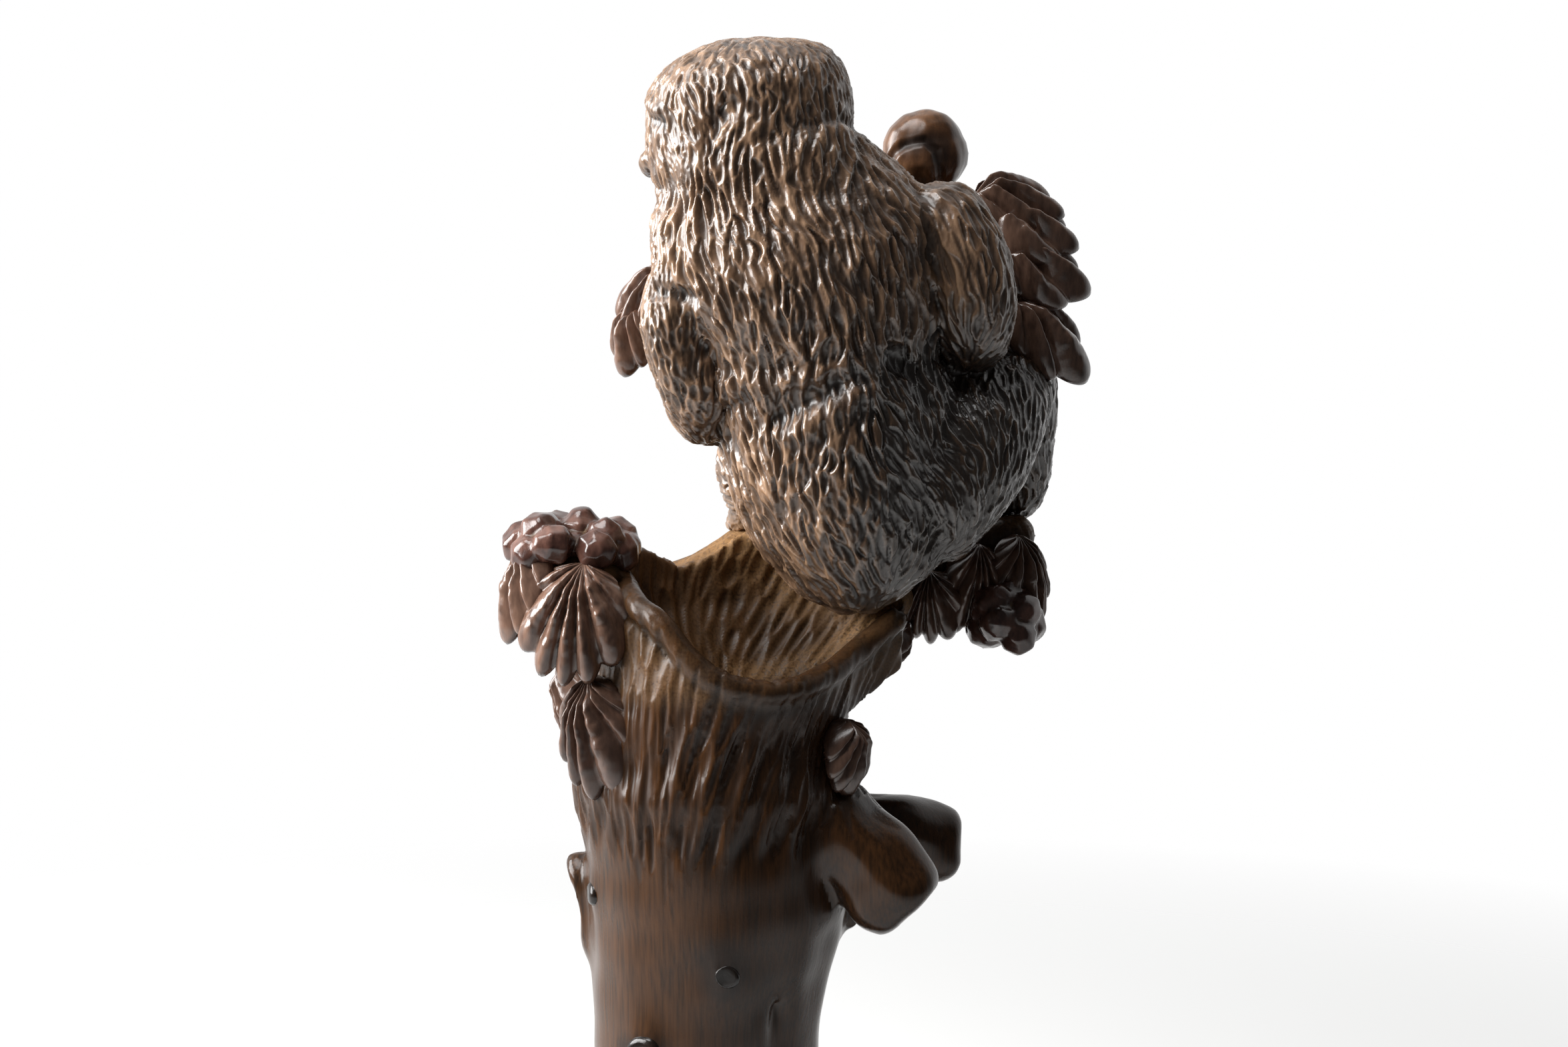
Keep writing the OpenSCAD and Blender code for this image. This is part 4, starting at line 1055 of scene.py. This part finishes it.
# %% Berries, bud and knots
def dress(node, piece_name, voxel, rounds, swell, material, folds=()):
    clay = Clay(*voxel_skin(*cad_triangles([node])[:2], voxel))
    clay.smooth(rounds)
    sunk = clay.hollow(rounds=30)
    own_tree = solid_tree([node])
    folded = sum(furrows(clay, own_tree, folds), np.zeros(len(clay.points)))
    clay.push(swell + 0.2 * ripple(clay.points, size=2.8, seed=31) - folded)
    # Hollows and folds are painted dark as painted shade, and dust settles in the hollows.
    clay.masks = {
        "groove": np.clip(sunk / 0.35 + folded, 0, 1),
        "shade_and_stain": np.clip(sunk / 0.6, 0, 1),
        "dust": np.clip(sunk / 0.5 - 0.2, 0, 0.7),
        "tint": 0.5 + 0.4 * ripple(clay.points, size=4, seed=32),
    }
    make_piece(piece_name, clay.points, clay.quads.tolist(), material, [node], clay.masks)
    print("  ", piece_name, len(clay.quads), "faces")


BUD_FOLDS = [
    ([(1338, 236), (1352, 217), (1385, 210), (1404, 225), (1408, 265)], 1.4, 0.7),
    ([(1442, 200), (1446, 246)], 4.5, 1.0),
    ([(1340, 176), (1360, 166)], 4.5, 0.9),
]
KNOT_HOLLOW = [([(1080, 1452), (1080, 1468)], 6.0, 0.95)]
for heap in ("left_berries", "foot_berries"):
    dress(heap, heap + "_carving", 0.32, 4, 0.15, BERRY_WOOD)
dress("top_fruit", "top_fruit_carving", 0.25, 12, 0.5, BUD_WOOD, BUD_FOLDS)
dress("knot_plugs", "knot_bosses", 0.22, 30, 0.1, KNOT_WOOD, KNOT_HOLLOW)

# %% [markdown]
# ## Leaves
# All leaves follow one rule: a convex oval whose ridges fan out from the stalk, so one node group with
# named inputs makes every one of them. A grid becomes a fan of angle and reach, because the ridges are
# then lines of the grid. It is bent once into the upper side and once into the under side, and the two
# are merged along the scalloped edge.

# %% Leaves: one node group
LEAF_INPUTS = {"Length": 0.021, "Width": 0.018, "Crown": 0.0036, "Body": 0.0026, "Ribs": 7.0,
               "Rib height": 0.0022, "Lumps": 0.0024, "Phase": 0.0}
LEAF_GRID = {"Size X": 1, "Size Y": 1, "Vertices X": 70, "Vertices Y": 90}
FAN_ANGLE = math.radians(160)
LUMP_SCALE = 260
MERGE_GAP = 0.02 * MM


def store(graph, geometry, name, value):
    sockets = {"Geometry": geometry, "Name": name, "Value": value}
    return graph.out("GeometryNodeStoreNamedAttribute", sockets, data_type="FLOAT", domain="POINT")


def leaf_group():
    group = bpy.data.node_groups.new("fan_leaf", "GeometryNodeTree")
    new_socket = group.interface.new_socket
    for way in ("INPUT", "OUTPUT"):
        new_socket("Geometry", in_out=way, socket_type="NodeSocketGeometry")
    for name, value in LEAF_INPUTS.items():
        new_socket(name, in_out="INPUT", socket_type="NodeSocketFloat").default_value = value
    graph = Graph(group)
    given = graph.node("NodeGroupInput")
    length, width, crown, body, ribs, rib_height, lumpy, phase = (
        Wire(graph, given.outputs[name]) for name in LEAF_INPUTS)
    sheet = graph.out("GeometryNodeMeshGrid", LEAF_GRID)
    spot = graph.out("GeometryNodeInputPosition")
    split = graph.node("ShaderNodeSeparateXYZ", {0: spot})
    reach = (Wire(graph, split.outputs[0]) + 0.5).clamped()
    across = Wire(graph, split.outputs[1]) * 2
    turn = across * FAN_ANGLE
    rim_x, rim_y = length * 0.5 * (turn.math("COSINE") + 1), width * 0.5 * turn.math("SINE")
    uneven = across + (across * 6 + phase).math("SINE") * 0.07
    pleat = (uneven * ribs * (math.pi / 2)).math("COSINE").math("ABSOLUTE") ** 0.9
    fan = graph.range(reach, 0.03, 0.3)
    spread = reach * (1 + (pleat - 0.6) * fan * 0.14)
    x, y = spread * rim_x, spread * rim_y
    cell = graph.out("ShaderNodeCombineXYZ", {0: x, 1: y, 2: phase * 0.01})
    lumps = graph.out("ShaderNodeTexNoise", {"Vector": cell, "Scale": LUMP_SCALE, "Detail": 2})
    swell = (reach ** 0.6 * math.pi).math("SINE").math("MAXIMUM", 0) ** 0.55
    dome = (1 - across * across).math("MAXIMUM", 0) ** 0.5
    top_z = swell * dome * (crown + pleat * fan * rib_height + (lumps - 0.5) * lumpy)
    under_z = swell * dome * body * -1
    sides = []
    for z in (top_z, under_z):
        placed = graph.out("ShaderNodeCombineXYZ", {0: x, 1: y, 2: z})
        sides.append(graph.out("GeometryNodeSetPosition", {"Geometry": sheet, "Position": placed}))
    # The valleys between the ridges are marked as grooves, which the finish paints dark as painted shade.
    marked = store(graph, sides[0], "groove", (1 - pleat) * fan * dome)
    rib_number = (uneven * ribs * 0.5 + 0.5).math("FLOOR")
    shade = graph.out("ShaderNodeTexWhiteNoise", {"W": rib_number + 3.7}, noise_dimensions="1D")
    marked = store(graph, marked, "tint", shade)
    flipped = graph.out("GeometryNodeFlipFaces", {"Mesh": sides[1]})
    joined = graph.node("GeometryNodeJoinGeometry")
    for side in (flipped, marked):
        group.links.new(side.socket, joined.inputs[0])
    both = Wire(graph, joined.outputs[0])
    merged = graph.out("GeometryNodeMergeByDistance", {"Geometry": both, "Distance": MERGE_GAP})
    smooth = graph.out("GeometryNodeSetShadeSmooth", {"Geometry": merged})
    real = graph.out("GeometryNodeRealizeInstances", {"Geometry": smooth})
    dressed = graph.out("GeometryNodeSetMaterial", {"Geometry": real, "Material": LEAF_WOOD})
    graph.node("NodeGroupOutput", {"Geometry": dressed})
    return group


def grow_mesh(group, name, values):
    """The plain mesh that a node group makes from the given inputs."""
    seed_mesh = bpy.data.meshes.new(name + "_seed")
    holder = put(name + "_seed", seed_mesh)
    modifier = holder.modifiers.new("grow", "NODES")
    modifier.node_group = group
    for item in group.interface.items_tree:
        if item.in_out == "INPUT" and item.name in values:
            modifier[item.identifier] = float(values[item.name])
    bpy.context.view_layer.update()
    grown = bpy.data.meshes.new_from_object(holder.evaluated_get(bpy.context.evaluated_depsgraph_get()))
    bpy.data.objects.remove(holder)
    bpy.data.meshes.remove(seed_mesh)
    grown.name = name
    return grown


FAN_LEAF = leaf_group()
print("leaf inputs:", list(LEAF_INPUTS))

# %% Leaves: growing and placing
# Way of the midrib, way the leaf faces, length, width and relief as shares of the plain leaf, ridges.
LEAVES = {
    "left_spray_upper_leaf": [(-0.18, -0.22, -0.96), (-0.2, -0.93, 0.3), 1, 1.12, 1, 9],
    "left_spray_lower_leaf": [(0.04, -0.1, -0.99), (-0.55, -0.83, 0.1), 1.02, 0.86, 1.1, 8],
    "left_spray_outer_leaf": [(-0.42, 0.02, -0.9), (-0.85, -0.3, 0.42), 0.86, 0.75, 1, 7],
    "left_spray_tucked_leaf": [(0.02, -0.05, -0.99), (-0.97, -0.2, 0.1), 0.85, 0.7, 1, 7],
    "right_rim_leaf": [(-0.58, -0.05, -0.81), (0.8, -0.15, -0.57), 0.8, 0.6, 0.9, 7],
    "right_side_leaf": [(0.12, 0.02, -0.99), (0.85, -0.5, 0.1), 0.66, 0.6, 0.9, 8],
    "foot_spray_outer_leaf": [(0.1, -0.1, -0.98), (0.5, -0.85, 0.1), 0.86, 0.7, 1, 8],
    "foot_spray_middle_leaf": [(-0.1, -0.12, -0.98), (0.1, -0.98, 0.1), 0.8, 0.7, 1, 8],
    "foot_spray_inner_leaf": [(0.05, -0.1, -0.98), (-0.15, -0.95, 0.1), 0.62, 0.66, 1, 8],
    "upper_right_fourth_leaf": [(0.75, -0.08, -0.65), (0.5, -0.7, 0.5), 0.94, 0.76, 1.6, 5],
    "upper_right_third_leaf": [(0.9, -0.05, -0.35), (0.3, -0.7, 0.64), 0.82, 0.74, 1.6, 5],
    "upper_right_second_leaf": [(0.95, -0.1, -0.22), (0.15, -0.65, 0.74), 0.76, 0.72, 1.6, 4],
    "upper_right_first_leaf": [(0.95, -0.12, -0.06), (0.1, -0.6, 0.79), 0.78, 0.7, 1.6, 5],
    "upper_left_lower_leaf": [(-0.36, -0.1, -0.92), (-0.7, -0.65, 0.3), 0.6, 0.54, 1, 6],
    "upper_left_upper_leaf": [(-0.72, -0.15, -0.67), (-0.5, -0.7, 0.5), 0.68, 0.6, 1, 6],
    "top_leaf": [(0.18, 0.2, 0.96), (0.3, 0.9, -0.2), 0.84, 0.72, 1, 8],
}
# Where the peg sits along the leaf, how far it reaches below, and how flat its end is.
PEG_PLACE = 0.12
PEG_REACH = 5.5 * MM
PEG_END = 0.05 * MM
PHASE_STEP = 1.7


def leaf_place(name, way, out, length):
    """The leaf's own frame, found again from the end of the peg on its solid."""
    x = Vector(way).normalized()
    z = (Vector(out) - Vector(out).dot(x) * x).normalized()
    y = z.cross(x)
    spots = [v.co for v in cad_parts[name].data.vertices]
    lowest = min(spot.dot(z) for spot in spots)
    ring = [spot for spot in spots if spot.dot(z) < lowest + PEG_END]
    peg_end = sum(ring, Vector()) / len(ring)
    base = peg_end + PEG_REACH * z - PEG_PLACE * length * x
    return Matrix.Translation(base) @ Matrix((x, y, z)).transposed().to_4x4()


for number, (name, row) in enumerate(LEAVES.items()):
    way, out, length_share, width_share, relief, ribs = row
    length = length_share * LEAF_INPUTS["Length"]
    width = width_share * LEAF_INPUTS["Width"]
    values = dict(LEAF_INPUTS, Length=length, Width=width, Ribs=ribs, Phase=PHASE_STEP * number)
    values["Rib height"] *= relief
    mesh = grow_mesh(FAN_LEAF, name + "_carving", values)
    mesh.transform(leaf_place(name, way, out, length))
    show(name + "_carving", mesh, [name])
print("leaves:", len(LEAVES), "with", len(mesh.polygons), "faces each")

# %% [markdown]
# ## Dowels
# The dowels sit inside the wood and stay as the plain solids they are. They only get their pale finish.

# %% Dowels
for name in FIGURE_DOWELS:
    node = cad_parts[name]
    node.data.materials.clear()
    node.data.materials.append(DOWEL_WOOD)
print("dowels:", len(FIGURE_DOWELS))

# %% [markdown]
# ## Size
# The dressed figure has to keep the size of the solids, so both boxes are printed.

# %% Size
boxes = {"cad": CAD_BOX, "visual": [list(corner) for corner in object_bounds()]}
print("boxes in mm:", {name: np.round(np.array(box) / MM, 1).tolist() for name, box in boxes.items()})
